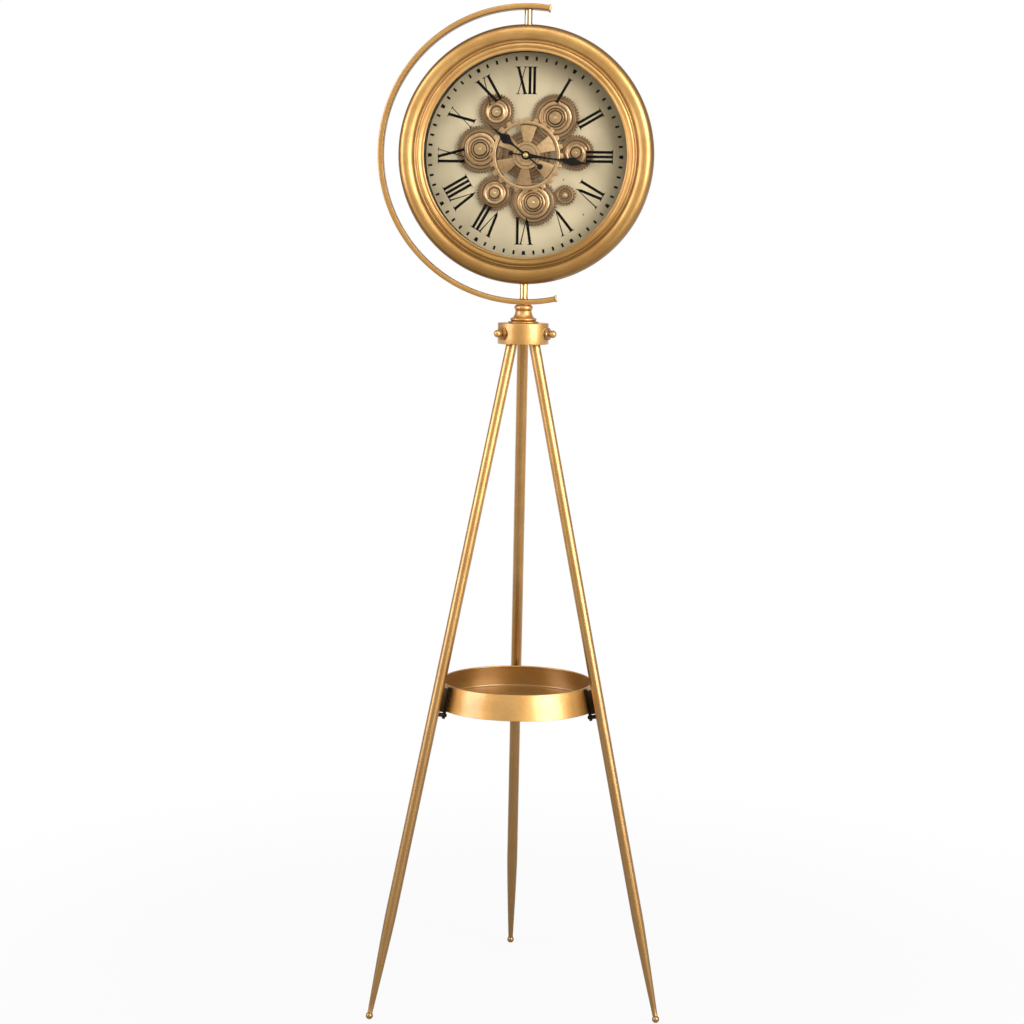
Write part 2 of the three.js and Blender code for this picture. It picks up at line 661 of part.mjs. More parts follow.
function studHoles() {
  const from = STUD_END - FIT;
  const to = HEAD_R + OVERCUT;
  return solid(rod(STUD_R + FIT, from, to)).add(solid(rod(STUD_R + FIT, -to, -from)));
}

// The beads between the roll and the opening: [share of the lip's width, height above the lip]
const BEADS = [[0.06, 1.8], [0.22, 3], [0.31, 0.6], [0.46, 2.6], [0.61, 1]];

function bezelBody() {
  const inner = HEAD_WALL_R - SHEET;
  const root = LIP_FRONT + BEADS[4][1];
  const ring = solid(turnedFront([
    [HEAD_WALL_R, BEZEL_BACK],
    [HEAD_WALL_R, ROLL_BACK],
    ...arcPoints(CREST_R, WIDEST_FRONT, CREST_IN, CREST_FRONT - WIDEST_FRONT, 0, 90, 4),
    ...arcPoints(CREST_R, root, CREST_R - ROLL_INNER_R, CREST_FRONT - root, 135, 180, 1),
    ...BEADS.map(([share, rise]) => [ROLL_INNER_R - share * LIP_WIDTH, LIP_FRONT + rise]),
    [LIP_R, LIP_FRONT],
    [LIP_R, LIP_FRONT - LIP_THICK],
    [ROLL_INNER_R - SHEET, LIP_FRONT - LIP_THICK],
    [CREST_R, CREST_FRONT - SHEET],
    [(CREST_R + 2 * inner) / 3, (WIDEST_FRONT + 2 * CREST_FRONT) / 3],
    [inner, WIDEST_FRONT],
    [inner, BEZEL_BACK],
  ], ROUND));
  return ring.subtract(studHoles());
}

const SCREW_ANGLES = [45, 135, 225, 315];
const SCREW_RING_R = CASE_REAR_R - CASE_THICK - LUG_SIZE / 2;

function caseBody() {
  const inner = CASE_REAR_R - CASE_THICK;
  const shelf = DIAL_BACK - FIT;
  const shelfInner = DIAL_R - SHELF_WIDTH;
  const step = (CASE_R - CASE_REAR_R) / 2;
  let shell = solid(turnedFront([
    [CASE_REAR_R, CASE_BACK],
    [CASE_REAR_R, CASE_STEP - step],
    [CASE_R, CASE_STEP],
    [CASE_R, CASE_FRONT],
    [CASE_R - CASE_THICK, CASE_FRONT],
    [CASE_R - CASE_THICK, CASE_STEP],
    [inner, CASE_STEP - step],
    [inner, shelf],
    [shelfInner, shelf],
    [shelfInner, shelf - SHELF_THICK],
    [inner, shelf - SHELF_THICK],
    [inner, CASE_BACK],
  ], ROUND)).subtract(studHoles());
  const round = solid(disc(inner + CASE_THICK / 2, CASE_BACK, CASE_BACK + LUG_DEPTH, ROUND));
  for (const angle of SCREW_ANGLES) {
    const lug = solid(new THREE.BoxGeometry(2 * LUG_SIZE, LUG_DEPTH, LUG_SIZE)
      .translate(inner, -CASE_BACK - LUG_DEPTH / 2, 0)).rotate([0, angle, 0]).intersect(round);
    const holeEnd = CASE_BACK + COVER_SCREW_IN_LUG + BORE_SPARE;
    const hole = solid(disc(COVER_SCREW_R + FIT, CASE_BACK - OVERCUT, holeEnd, FINE))
      .translate([SCREW_RING_R, 0, 0]).rotate([0, angle, 0]);
    shell = shell.add(lug).subtract(hole);
  }
  return shell;
}

function coverBody() {
  const high = CASE_BACK - FIT;
  const low = high - COVER_THICK;
  let cover = solid(turnedFront([
    [COVER_HOLE_R, low],
    [CASE_REAR_R, low],
    [CASE_REAR_R, high],
    [COVER_HOLE_R, high],
  ], ROUND));
  for (const angle of SCREW_ANGLES) {
    cover = cover.subtract(solid(disc(COVER_SCREW_R + FIT, low - OVERCUT, high + OVERCUT, FINE))
      .translate([SCREW_RING_R, 0, 0]).rotate([0, angle, 0]));
  }
  return cover;
}

function coverScrew(angle) {
  const seat = CASE_BACK - FIT - COVER_THICK - FIT;
  return solid(turnedFront([
    [0, seat - COVER_SCREW_HEAD],
    [COVER_SCREW_HEAD_R * 0.7, seat - COVER_SCREW_HEAD * 0.86],
    [COVER_SCREW_HEAD_R, seat],
    [COVER_SCREW_R, seat],
    [COVER_SCREW_R, CASE_BACK + COVER_SCREW_IN_LUG],
    [0, CASE_BACK + COVER_SCREW_IN_LUG],
  ], FINE)).translate([SCREW_RING_R, 0, 0]).rotate([0, angle, 0]);
}

function wallBody() {
  const low = DIAL_FRONT + FIT;
  const high = GLASS_BACK - FIT;
  return solid(turnedFront([
    [WALL_R, low],
    [WALL_R + WALL_THICK, low],
    [WALL_R + WALL_THICK, high - WALL_FLANGE],
    [WALL_FLANGE_R, high - WALL_FLANGE],
    [WALL_FLANGE_R, high],
    [WALL_R, high],
  ], ROUND));
}

// Gear centres, from the middle of the dial as seen from the front. Each gear meshes with its driver,
// so its distance follows from the teeth and only its direction is chosen.
const GEARS = {
  centre_gear: { teeth: 50, driver: null, degrees: 0 },
  gear_upper_right: { teeth: 48, driver: 'centre_gear', degrees: 52.9 },
  gear_left: { teeth: 48, driver: 'centre_gear', degrees: 173 },
  gear_bottom: { teeth: 48, driver: 'centre_gear', degrees: 279.5 },
  gear_right: { teeth: 36, driver: 'gear_upper_right', degrees: 301.9 },
  gear_upper_left: { teeth: 36, driver: 'gear_left', degrees: 66.7 },
  gear_lower_left: { teeth: 36, driver: 'gear_bottom', degrees: 167.4 },
  pinion_lower_right: { teeth: 20, driver: 'gear_bottom', degrees: 13.6 },
};
const DRIVEN_SHAFT = 'gear_bottom'; // the gear that the motor turns

for (const gear of Object.values(GEARS)) {
  const driver = GEARS[gear.driver];
  if (!driver) {
    Object.assign(gear, { x: 0, z: 0, phase: 0 });
    continue;
  }
  const angle = THREE.MathUtils.degToRad(gear.degrees);
  const distance = (MODULE * (driver.teeth + gear.teeth)) / 2 + MESH_GAP;
  gear.x = driver.x + distance * Math.cos(angle);
  gear.z = driver.z + distance * Math.sin(angle);
  // one gear's tooth stands in the other's gap on the line between their centres
  const share = ((angle - driver.phase) * driver.teeth) / (2 * Math.PI);
  gear.phase = angle + Math.PI - ((0.5 - share) * 2 * Math.PI) / gear.teeth;
}

function pitchRadius(gear) {
  return (MODULE * gear.teeth) / 2;
}

const RIM_MID = RIM_LOW + RIM_THICK / 2;
const LARGE_GEAR = GEARS.gear_left;
const WHEEL_TIP_R = Math.hypot(LARGE_GEAR.x, LARGE_GEAR.z) - LARGE_BOSS_R - WHEEL_BOSS_GAP;
const WHEEL_ROOT_R = WHEEL_TIP_R - WHEEL_TOOTH;
const WHEEL_RIM_R = WHEEL_ROOT_R - WHEEL_RIM;

function toothedOutline(gear) {
  const points = [];
  for (let i = 0; i < 2 * gear.teeth; i += 1) {
    const angle = gear.phase + (Math.PI * i) / gear.teeth;
    const r = pitchRadius(gear) + (i % 2 === 0 ? TOOTH / 2 : -TOOTH / 2);
    points.push([r * Math.cos(angle), r * Math.sin(angle)]);
  }
  return outline(points);
}

// Raised steps inside a gear's rim: [radius, height above the dial]
function largeSteps(gear) {
  const r = pitchRadius(gear) - TOOTH / 2;
  const boss = LARGE_BOSS_R;
  return [
    [r * 0.9, RIM_HIGH],
    [r * 0.87, RIM_HIGH + 1.2],
    [r * 0.72, RIM_HIGH + 2.4],
    [r * 0.7, RIM_HIGH + 3.1],
    [boss, RIM_HIGH + 3.1],
    [boss * 0.93, RIM_HIGH + 5.4],
    [boss * 0.69, RIM_HIGH + 5.4],
    [boss * 0.65, RIM_HIGH + 7],
  ];
}

function midSteps(gear) {
  const r = pitchRadius(gear) - TOOTH / 2;
  return [
    [r * 0.88, RIM_HIGH],
    [r * 0.85, RIM_HIGH + 1.4],
    [r * 0.58, RIM_HIGH + 2.8],
    [r * 0.33, RIM_HIGH + 3.2],
    [r * 0.3, RIM_HIGH + 5.4],
  ];
}

function pinionSteps(gear) {
  const r = pitchRadius(gear) - TOOTH / 2;
  return [
    [r * 0.82, RIM_HIGH],
    [r * 0.78, RIM_HIGH + 1.2],
    [r * 0.37, RIM_HIGH + 1.2],
    [r * 0.33, RIM_HIGH + 3.2],
  ];
}

function at(gear, body) {
  return body.translate([gear.x, -DIAL_FRONT, gear.z]);
}

// A gear turns on a fixed arbor in a blind bore, but the driven one has a shaft that runs back to the motor
function gearBody(name, steps) {
  const gear = GEARS[name];
  const top = steps[steps.length - 1][1];
  const facets = gear.teeth > 40 ? MIDDLE : FINE;
  const rim = solid(plate(toothedOutline(gear), RIM_LOW, RIM_HIGH));
  const dome = solid(turnedFront([[0, RIM_MID], [steps[0][0], RIM_MID], ...steps, [0, top]], facets));
  const whole = rim.add(dome);
  if (name === DRIVEN_SHAFT) {
    const back = MOVEMENT_FRONT - DIAL_FRONT - SHAFT_IN_MOTOR;
    return at(gear, whole.add(solid(disc(ARBOR_R, back, RIM_MID, FINE))));
  }
  const bore = solid(disc(ARBOR_R + ARBOR_GAP, RIM_LOW - OVERCUT, top - GEAR_CAP, FINE));
  return at(gear, whole.subtract(bore));
}

function centreGear() {
  const gear = GEARS.centre_gear;
  const rim = solid(plate(toothedOutline(gear), RIM_LOW, RIM_HIGH));
  const r = pitchRadius(gear) - TOOTH / 2;
  const seat = WHEEL_LOW - FIT;
  const hub = solid(turnedFront([
    [0, RIM_MID],
    [r * 0.8, RIM_MID],
    [r * 0.8, RIM_HIGH + 0.2 * WHEEL_LIFT],
    [r * 0.63, RIM_HIGH + 0.4 * WHEEL_LIFT],
    [r * 0.4, RIM_HIGH + 0.4 * WHEEL_LIFT],
    [r * 0.4, seat],
    [0, seat],
  ], MIDDLE));
  const bore = solid(disc(BUSHING_R + ARBOR_GAP, RIM_LOW - OVERCUT, WHEEL_LOW + OVERCUT, FINE));
  return at(gear, rim.add(hub).subtract(bore));
}

// The open wheel in front of the train: square teeth, a narrow rim, tapered spokes and a stepped hub
function spokedWheel() {
  const pitch = (2 * Math.PI) / WHEEL_TEETH;
  const points = [];
  for (let i = 0; i < WHEEL_TEETH; i += 1) {
    const tooth = [[-0.3, WHEEL_ROOT_R], [-0.24, WHEEL_TIP_R], [0.24, WHEEL_TIP_R], [0.3, WHEEL_ROOT_R]];
    for (const [share, r] of tooth) {
      const angle = (i + share) * pitch;
      points.push([r * Math.cos(angle), r * Math.sin(angle)]);
    }
  }
  const shape = outline(points);
  const step = 360 / WHEEL_SPOKES;
  for (let i = 0; i < WHEEL_SPOKES; i += 1) {
    const start = THREE.MathUtils.radToDeg(SPOKE_START) + i * step;
    const outer = THREE.MathUtils.radToDeg(Math.asin(SPOKE_OUTER / 2 / WHEEL_RIM_R));
    const inner = THREE.MathUtils.radToDeg(Math.asin(SPOKE_INNER / 2 / WHEEL_HUB_R));
    const window = [
      ...arcPoints(0, 0, WHEEL_RIM_R, WHEEL_RIM_R, start + outer, start + step - outer, 4),
      ...arcPoints(0, 0, WHEEL_HUB_R, WHEEL_HUB_R, start + step - inner, start + inner, 2),
    ];
    shape.holes.push(new THREE.Path(window.map(([x, y]) => new THREE.Vector2(x, y))));
  }
  const wheel = solid(plate(shape, WHEEL_LOW, WHEEL_HIGH));
  const inside = WHEEL_LOW + WHEEL_THICK / 2;
  const top = WHEEL_HIGH + WHEEL_HUB_RISE;
  const hub = solid(turnedFront([
    [0, inside],
    [WHEEL_HUB_R, inside],
    [WHEEL_HUB_R, (WHEEL_HIGH + top) / 2],
    [WHEEL_HUB_R * 0.76, (WHEEL_HIGH + top) / 2],
    [WHEEL_HUB_R * 0.74, top],
    [0, top],
  ], MIDDLE));
  const bore = solid(disc(BUSHING_R + ARBOR_GAP, WHEEL_LOW - OVERCUT, top + OVERCUT, FINE));
  return at(GEARS.centre_gear, wheel.add(hub).subtract(bore));
}

function dialBody() {
  let dial = solid(disc(DIAL_R, DIAL_BACK, DIAL_FRONT, ROUND));
  for (const [name, gear] of Object.entries(GEARS)) {
    const r = name === 'centre_gear' ? BUSHING_R + FIT : ARBOR_R + FIT;
    const hole = solid(disc(r, DIAL_BACK - OVERCUT, DIAL_FRONT + OVERCUT, FINE));
    dial = dial.subtract(hole.translate([gear.x, 0, gear.z]));
  }
  return dial;
}

// A plate behind the dial carries the gears' arbors
function gearPlate() {
  const high = DIAL_BACK - FIT;
  let body = solid(disc(GEAR_PLATE_R, high - GEAR_PLATE_THICK, high, 48));
  for (const [name, gear] of Object.entries(GEARS)) {
    if (name === 'centre_gear' || name === DRIVEN_SHAFT) {
      const r = (name === DRIVEN_SHAFT ? ARBOR_R : BUSHING_R) + FIT;
      const hole = solid(disc(r, high - GEAR_PLATE_THICK - OVERCUT, high + OVERCUT, FINE));
      body = body.subtract(hole.translate([gear.x, 0, gear.z]));
    } else {
      const top = DIAL_FRONT + stepsOf(name).at(-1)[1] - GEAR_CAP - FIT;
      const arbor = solid(disc(ARBOR_R, high - GEAR_PLATE_THICK / 2, top, FINE));
      body = body.add(arbor.translate([gear.x, 0, gear.z]));
    }
  }
  return body;
}

function stepsOf(name) {
  const gear = GEARS[name];
  if (gear.teeth > 40) return largeSteps(gear);
  return gear.teeth > 30 ? midSteps(gear) : pinionSteps(gear);
}

// Quartz movement on the gear plate's back, with the bushing that the hands' tubes run in
const MOVEMENT_FRONT = DIAL_BACK - FIT - GEAR_PLATE_THICK - FIT;
const MOVEMENT_BACK = MOVEMENT_FRONT - MOVEMENT_THICK;
const BATTERY_X = MOVEMENT_SIZE / 2 - BATTERY_R - BATTERY_EDGE;

function movementBody() {
  const box = solid(new THREE.BoxGeometry(MOVEMENT_SIZE, MOVEMENT_THICK, MOVEMENT_SIZE)
    .translate(0, -MOVEMENT_FRONT + MOVEMENT_THICK / 2, 0));
  const top = DIAL_FRONT + BUSHING_TOP;
  const bushing = solid(disc(BUSHING_R, MOVEMENT_FRONT - TUBE_IN_MOVEMENT, top, FINE));
  const boreEnd = MOVEMENT_FRONT - TUBE_IN_MOVEMENT - BORE_SPARE;
  const bore = solid(disc(HOUR_TUBE_R + FIT, boreEnd, top + OVERCUT, FINE));
  const width = 2 * (BATTERY_R + FIT);
  const bay = solid(new THREE.BoxGeometry(width, width, BATTERY_LENGTH + 2 * FIT)
    .translate(BATTERY_X, -MOVEMENT_BACK - BATTERY_R, 0));
  const stemEnd = MOVEMENT_BACK + KNOB_STEM + FIT;
  const knobHole = solid(disc(KNOB_STEM_R + FIT, MOVEMENT_BACK - OVERCUT, stemEnd, FINE))
    .translate([-KNOB_OFFSET, 0, 0]);
  return box.add(bushing).subtract(bore).subtract(bay).subtract(knobHole);
}

function batteryBody() {
  const half = BATTERY_LENGTH / 2;
  return solid(turnedUp([
    [0, -half],
    [BATTERY_R, -half],
    [BATTERY_R, half - CONTACT_HIGH],
    [CONTACT_R, half - CONTACT_HIGH],
    [CONTACT_R, half],
    [0, half],
  ], FINE)).translate([BATTERY_X, -MOVEMENT_BACK - BATTERY_R, 0]);
}

function knobBody() {
  const seat = MOVEMENT_BACK - FIT;
  return solid(turnedFront([
    [0, seat - KNOB_HEIGHT],
    [KNOB_R * 0.86, seat - KNOB_HEIGHT],
    [KNOB_R, seat - KNOB_HEIGHT * 0.84],
    [KNOB_R, seat],
    [KNOB_STEM_R, seat],
    [KNOB_STEM_R, MOVEMENT_BACK + KNOB_STEM],
    [0, MOVEMENT_BACK + KNOB_STEM],
  ], FINE)).translate([-KNOB_OFFSET, 0, 0]);
}

function motorBody() {
  const gear = GEARS[DRIVEN_SHAFT];
  const high = MOVEMENT_FRONT;
  return solid(turnedFront([
    [0, high - MOTOR_THICK],
    [MOTOR_R, high - MOTOR_THICK],
    [MOTOR_R, high],
    [ARBOR_R + FIT, high],
    [ARBOR_R + FIT, high - SHAFT_IN_MOTOR - BORE_SPARE],
    [0, high - SHAFT_IN_MOTOR - BORE_SPARE],
  ], MIDDLE)).translate([gear.x, 0, gear.z]);
}

// Hands: each is a flat lozenge on a thin stem, with a round tail weight; drawn pointing up
function handOutline(hand) {
  const half = hand.stem / 2;
  const { tail, weight } = hand;
  const join = Math.asin(half / HUB_R);
  const side = (sign) => {
    const right = [
      [half / 4, hand.reach],
      [half, hand.high],
      [hand.width / 2, hand.mid],
      [half, hand.low],
      [half, HUB_R * Math.cos(join)],
    ];
    return right.map(([x, y]) => [sign * x, y]);
  };
  const degrees = THREE.MathUtils.radToDeg(join);
  const weightJoin = THREE.MathUtils.radToDeg(Math.asin(half / weight));
  const rightHub = arcPoints(0, 0, HUB_R, HUB_R, 90 - degrees, -90 + degrees, 8);
  const leftHub = arcPoints(0, 0, HUB_R, HUB_R, 270 - degrees, 90 + degrees, 8);
  const tailRound = arcPoints(0, -tail, weight, weight, 90 - weightJoin, -270 + weightJoin, 10);
  const lower = [...rightHub.slice(1), ...tailRound, ...leftHub.slice(0, -1)];
  return outline([...side(1), ...lower, ...side(-1).reverse()]);
}

function hourHand() {
  const low = DIAL_FRONT + HOUR_HAND_LOW;
  const tubeEnd = MOVEMENT_FRONT - TUBE_IN_MOVEMENT;
  const blade = solid(plate(handOutline(HOUR_HAND), low, low + HAND_THICK));
  const tube = solid(disc(HOUR_TUBE_R, tubeEnd, low + HAND_THICK / 2, FINE));
  const bore = solid(disc(MINUTE_ARBOR_R + FIT, tubeEnd - OVERCUT, low + HAND_THICK + OVERCUT, FINE));
  return blade.add(tube).subtract(bore).rotate([0, TIME_HOURS * 30, 0]);
}

function minuteHand() {
  const low = DIAL_FRONT + MINUTE_HAND_LOW;
  const arborTop = DIAL_FRONT + (NUT_LOW + NUT_HIGH) / 2;
  const blade = solid(plate(handOutline(MINUTE_HAND), low, low + HAND_THICK));
  const arbor = solid(disc(MINUTE_ARBOR_R, MOVEMENT_FRONT - TUBE_IN_MOVEMENT, arborTop, FINE));
  return blade.add(arbor).rotate([0, (TIME_HOURS % 1) * 360, 0]);
}

function handNut() {
  const low = DIAL_FRONT + NUT_LOW;
  const high = DIAL_FRONT + NUT_HIGH;
  const thick = high - low;
  const bore = MINUTE_ARBOR_R + FIT;
  return solid(turnedFront([
    [bore, low],
    [NUT_R, low],
    [NUT_R, low + thick * 0.36],
    [NUT_R * 0.8, high - thick * 0.2],
    [NUT_R * 0.45, high],
    [0, high],
    [0, high - thick * 0.36],
    [bore, high - thick * 0.36],
  ], FINE));
}

head.add(
  piece('pivot_post_top', pivotTop(), POLISHED),
  piece('pivot_post_bottom', pivotBottom(), POLISHED),
  piece('bezel', bezelBody(), BRASS),
  piece('case_shell', caseBody(), BRASS),
  piece('back_cover', coverBody(), BRASS),
  piece('glass', solid(disc(GLASS_R, GLASS_BACK, GLASS_BACK + GLASS_THICK, ROUND)), CLEAR),
  piece('inner_wall', wallBody(), BLACK),
  piece('dial', dialBody(), CREAM),
  piece('gear_plate', gearPlate(), STEEL),
  piece('movement', movementBody(), BLACK),
  piece('battery', batteryBody(), STEEL),
  piece('set_knob', knobBody(), BLACK),
  piece('gear_motor', motorBody(), STEEL),
  piece('centre_gear', centreGear(), BRONZE),
  piece('spoked_wheel', spokedWheel(), BRONZE),
  piece('hour_hand', hourHand(), BLACK),
  piece('minute_hand', minuteHand(), BLACK),
  piece('hand_nut', handNut(), POLISHED),
);
SCREW_ANGLES.forEach((angle, i) => head.add(piece(`cover_screw_${i + 1}`, coverScrew(angle), STEEL)));
for (const name of Object.keys(GEARS).slice(1)) {
  head.add(piece(name, gearBody(name, stepsOf(name)), BRONZE));
}

// The stand's axis is moved so that the whole clock is centred over the origin
clock.updateMatrixWorld(true);
const bounds = new THREE.Box3().setFromObject(clock, true);
const middle = bounds.getCenter(new THREE.Vector3());
clock.position.set(-middle.x, -middle.y, -bounds.min.z);
clock.updateMatrixWorld(true);

export default clock;
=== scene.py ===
# Tripod floor clock: a round gear clock that swivels in an open arc on three legs.
# Sizes are in millimetres and are turned into metres where a piece is made.

from math import acos, asin, atan, atan2, copysign, cos, degrees, hypot, pi, radians, sin, tan

import bmesh
import bpy
from mathutils import Matrix, Vector


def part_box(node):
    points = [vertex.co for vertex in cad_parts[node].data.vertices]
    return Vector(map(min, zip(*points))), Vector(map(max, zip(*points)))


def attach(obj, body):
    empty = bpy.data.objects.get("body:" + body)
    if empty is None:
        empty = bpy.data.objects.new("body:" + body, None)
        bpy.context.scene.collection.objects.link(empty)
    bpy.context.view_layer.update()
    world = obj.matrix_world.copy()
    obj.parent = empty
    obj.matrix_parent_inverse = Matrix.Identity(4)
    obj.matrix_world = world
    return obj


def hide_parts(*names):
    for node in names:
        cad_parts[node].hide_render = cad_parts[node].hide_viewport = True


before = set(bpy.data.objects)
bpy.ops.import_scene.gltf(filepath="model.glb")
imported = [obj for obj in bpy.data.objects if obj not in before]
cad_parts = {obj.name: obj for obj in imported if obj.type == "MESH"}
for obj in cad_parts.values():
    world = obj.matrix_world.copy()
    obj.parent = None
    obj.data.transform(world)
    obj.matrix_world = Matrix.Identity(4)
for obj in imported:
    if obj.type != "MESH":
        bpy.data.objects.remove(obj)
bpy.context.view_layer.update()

MM = 0.001
FIT = 0.3

# Where the stand's upright axis and the middle of the face are
collar_low, collar_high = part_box("collar")
glass_low, glass_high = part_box("glass")
AXIS_X = (collar_low[0] + collar_high[0]) / 2 / MM
AXIS_Y = (collar_low[1] + collar_high[1]) / 2 / MM
HEAD_Z = (glass_low[2] + glass_high[2]) / 2 / MM

# Stand
TRIPOD_TURN = 6.7
ARC_TURN = 4
LEG_SIDES = {"front_left": 210, "front_right": 330, "rear": 90}
FOOT_CIRCLE_R = 250
FOOT_BALL_R = 5.5
FOOT_Z = 5
LEG_R = 8.4
LEG_END_R = 3.8
LEG_TAPER = 150
LEG_TOP_R = 19.7
LEG_IN_COLLAR = 22
COLLAR_Z = 1016
COLLAR_HEIGHT = 32
COLLAR_R = 38.6
COLLAR_WALL = 2.6
BOLT_TURN = 6.5
BOLT_BALL_R = 5.8
BOLT_STAND_OFF = 9.6
NUT_CORNER_R = 10.4
NUT_THICK = 3.6
TRAY_TOP_Z = 499
TRAY_HEIGHT = 38
TRAY_LEG_GAP = 12.05
TRAY_WALL = 1.6
POST_HEIGHT = 26.8

# Arc and head
HEAD_WALL_R = 191.4
ARC_INNER_R = 214.4
ARC_THICK = 8
ARC_DEPTH = 24
ARC_TOP_REACH = 8
ARC_BOTTOM_REACH = 12.4
PIVOT_R = 5.85
LIP_R = 152.2
LIP_FRONT = 21.5
GLASS_BACK = 16.5
GLASS_THICK = 3
DIAL_FRONT = -12
WALL_R = 153
CASE_R = 188.7
CASE_REAR_R = 183
CASE_BACK = -46
SHELF_R = 146

# Gears: heights are above the dial
MODULE = 1.43
TOOTH = 2
MESH_GAP = 0.45
RIM_LOW = 2.5
RIM_HIGH = 6
WHEEL_LOW = 10
WHEEL_THICK = 2.8
TIME_HOURS = 10.27

LEG_RISE = COLLAR_Z - FOOT_Z
LEG_SLOPE = (FOOT_CIRCLE_R - LEG_TOP_R) / LEG_RISE
LEG_TILT = atan(LEG_SLOPE)


def at(x, y, z=0):
    """A place in millimetres."""
    return Matrix.Translation((x * MM, y * MM, z * MM))


STAND = at(AXIS_X, AXIS_Y)
HEAD = at(AXIS_X, AXIS_Y, HEAD_Z)
FACE = HEAD @ Matrix.Rotation(pi / 2, 4, "X")  # +X right, +Y up and +Z out of the face


# Camera

def aim_camera():
    """The photograph's view: low, a little from the right, and rolled by about a degree."""
    azimuth, pan, pitch, roll = radians(5.862), radians(-0.214), radians(6.932), radians(0.961)
    ahead = Vector((sin(pan) * cos(pitch), cos(pan) * cos(pitch), -sin(pitch)))
    ahead.rotate(Matrix.Rotation(azimuth, 3, "Z"))
    right = ahead.cross(Vector((0, 0, 1))).normalized()
    up = right.cross(ahead)
    right, up = right * cos(roll) + up * sin(roll), up * cos(roll) - right * sin(roll)
    data = bpy.data.cameras.new("camera")
    data.lens = 76.65
    data.sensor_fit = "HORIZONTAL"
    camera = bpy.data.objects.new("camera", data)
    bpy.context.scene.collection.objects.link(camera)
    turn = Matrix((right, up, -ahead)).transposed().to_4x4()
    camera.matrix_world = at(331.3, -3338.2, 1161.5) @ turn
    bpy.context.scene.camera = camera


aim_camera()


# Materials

def times(colour, share):
    return tuple(c * share for c in colour)


def math_method(operation, turned_round=False):
    """A method of Value that adds a math node for this operation."""

    def combine(self, other):
        tree = self.socket.node.id_data
        item = tree.nodes.new("ShaderNodeMath")
        item.operation = operation
        pair = (other, self) if turned_round else (self, other)
        for slot, value in zip(item.inputs, pair):
            if isinstance(value, Value):
                tree.links.new(value.socket, slot)
            else:
                slot.default_value = value
        return Value(item.outputs[0])

    return combine


class Value:
    """A shader socket that can stand in a sum, so that a mask is written as an expression."""

    def __init__(self, socket):
        self.socket = socket

    __add__ = __radd__ = math_method("ADD")
    __sub__ = math_method("SUBTRACT")
    __rsub__ = math_method("SUBTRACT", True)
    __mul__ = __rmul__ = math_method("MULTIPLY")
    __truediv__ = math_method("DIVIDE")
    __rtruediv__ = math_method("DIVIDE", True)
    __pow__ = math_method("POWER")
    most = math_method("MAXIMUM")


class Nodes:
    """The nodes of a material or of the room."""

    def __init__(self, tree):
        self.tree = tree

    def node(self, kind, settings=None, **inputs):
        """A node of this type: its settings come first, then the values or links of its sockets."""
        item = self.tree.nodes.new(kind)
        for key, value in (settings or {}).items():
            setattr(item, key, value)
        for key, value in inputs.items():
            self.feed(self.socket(item, key), value)
        return item

    def socket(self, item, key):
        name = key.replace("_", " ")
        for socket in item.inputs:
            if socket.enabled and name in (socket.name, socket.identifier.replace("_", " ")):
                return socket
        raise KeyError(f"{item.bl_idname} has no {name}")

    def feed(self, socket, value):
        if isinstance(value, Value):
            value = value.socket
        if isinstance(value, bpy.types.NodeSocket):
            self.tree.links.new(value, socket)
        else:
            socket.default_value = value

    def fade(self, value, low, high, start=0, end=1):
        """Value goes smoothly from start, at low, to end, at high."""
        item = self.node("ShaderNodeMapRange", {"interpolation_type": "SMOOTHSTEP"}, Value=value,
                         From_Min=low, From_Max=high, To_Min=start, To_Max=end)
        return Value(item.outputs["Result"])

    def parts(self, vector):
        """X, Y and Z of a place or a direction."""
        item = self.node("ShaderNodeSeparateXYZ", Vector=vector)
        return [Value(item.outputs[axis]) for axis in "XYZ"]


class Finish(Nodes):
    """A material under construction."""

    def __init__(self, name):
        self.material = bpy.data.materials.new(name)
        self.material.use_nodes = True
        super().__init__(self.material.node_tree)
        self.shader = self.tree.nodes["Principled BSDF"]
        self.place = self.node("ShaderNodeTexCoord").outputs["Object"]

    def set(self, **inputs):
        """Values or links of the main shader's sockets."""
        for key, value in inputs.items():
            self.feed(self.socket(self.shader, key), value)

    def show(self, share, first, second):
        """The surface shows the second shader by this share and the first by the rest."""
        item = self.node("ShaderNodeMixShader")
        for socket, value in zip(item.inputs, (share, first.outputs[0], second.outputs[0])):
            self.feed(socket, value)
        self.feed(self.tree.nodes["Material Output"].inputs["Surface"], item.outputs[0])

    def noise(self, scale, detail, roughness=0.55, vector=None):
        item = self.node("ShaderNodeTexNoise", Vector=vector or self.place, Scale=scale,
                         Detail=detail, Roughness=roughness)
        return Value(item.outputs["Fac"])

    def grain(self, stretch):
        """A fine grain that is drawn out along the axes with a small stretch."""
        place = self.node("ShaderNodeMapping", Vector=self.place, Scale=stretch).outputs["Vector"]
        return self.noise(1100, 2, 0.6, place)

    def blend(self, factor, first, second):
        """Goes from the first colour to the second as the factor goes from 0 to 1."""
        item = self.node("ShaderNodeMix", {"data_type": "RGBA"})
        self.feed(item.inputs[0], factor)
        for socket, value in ((item.inputs[6], first), (item.inputs[7], second)):
            if isinstance(value, tuple) and len(value) == 3:
                value = (*value, 1)
            self.feed(socket, value)
        return item.outputs[2]

    def bump(self, height, distance):
        return self.node("ShaderNodeBump", Height=height, Distance=distance, Strength=1.0).outputs["Normal"]

    def cavity(self, distance):
        """0 in corners and grooves and 1 on open surface."""
        settings = {"samples": 6, "only_local": True}
        return Value(self.node("ShaderNodeAmbientOcclusion", settings, Distance=distance).outputs["AO"])


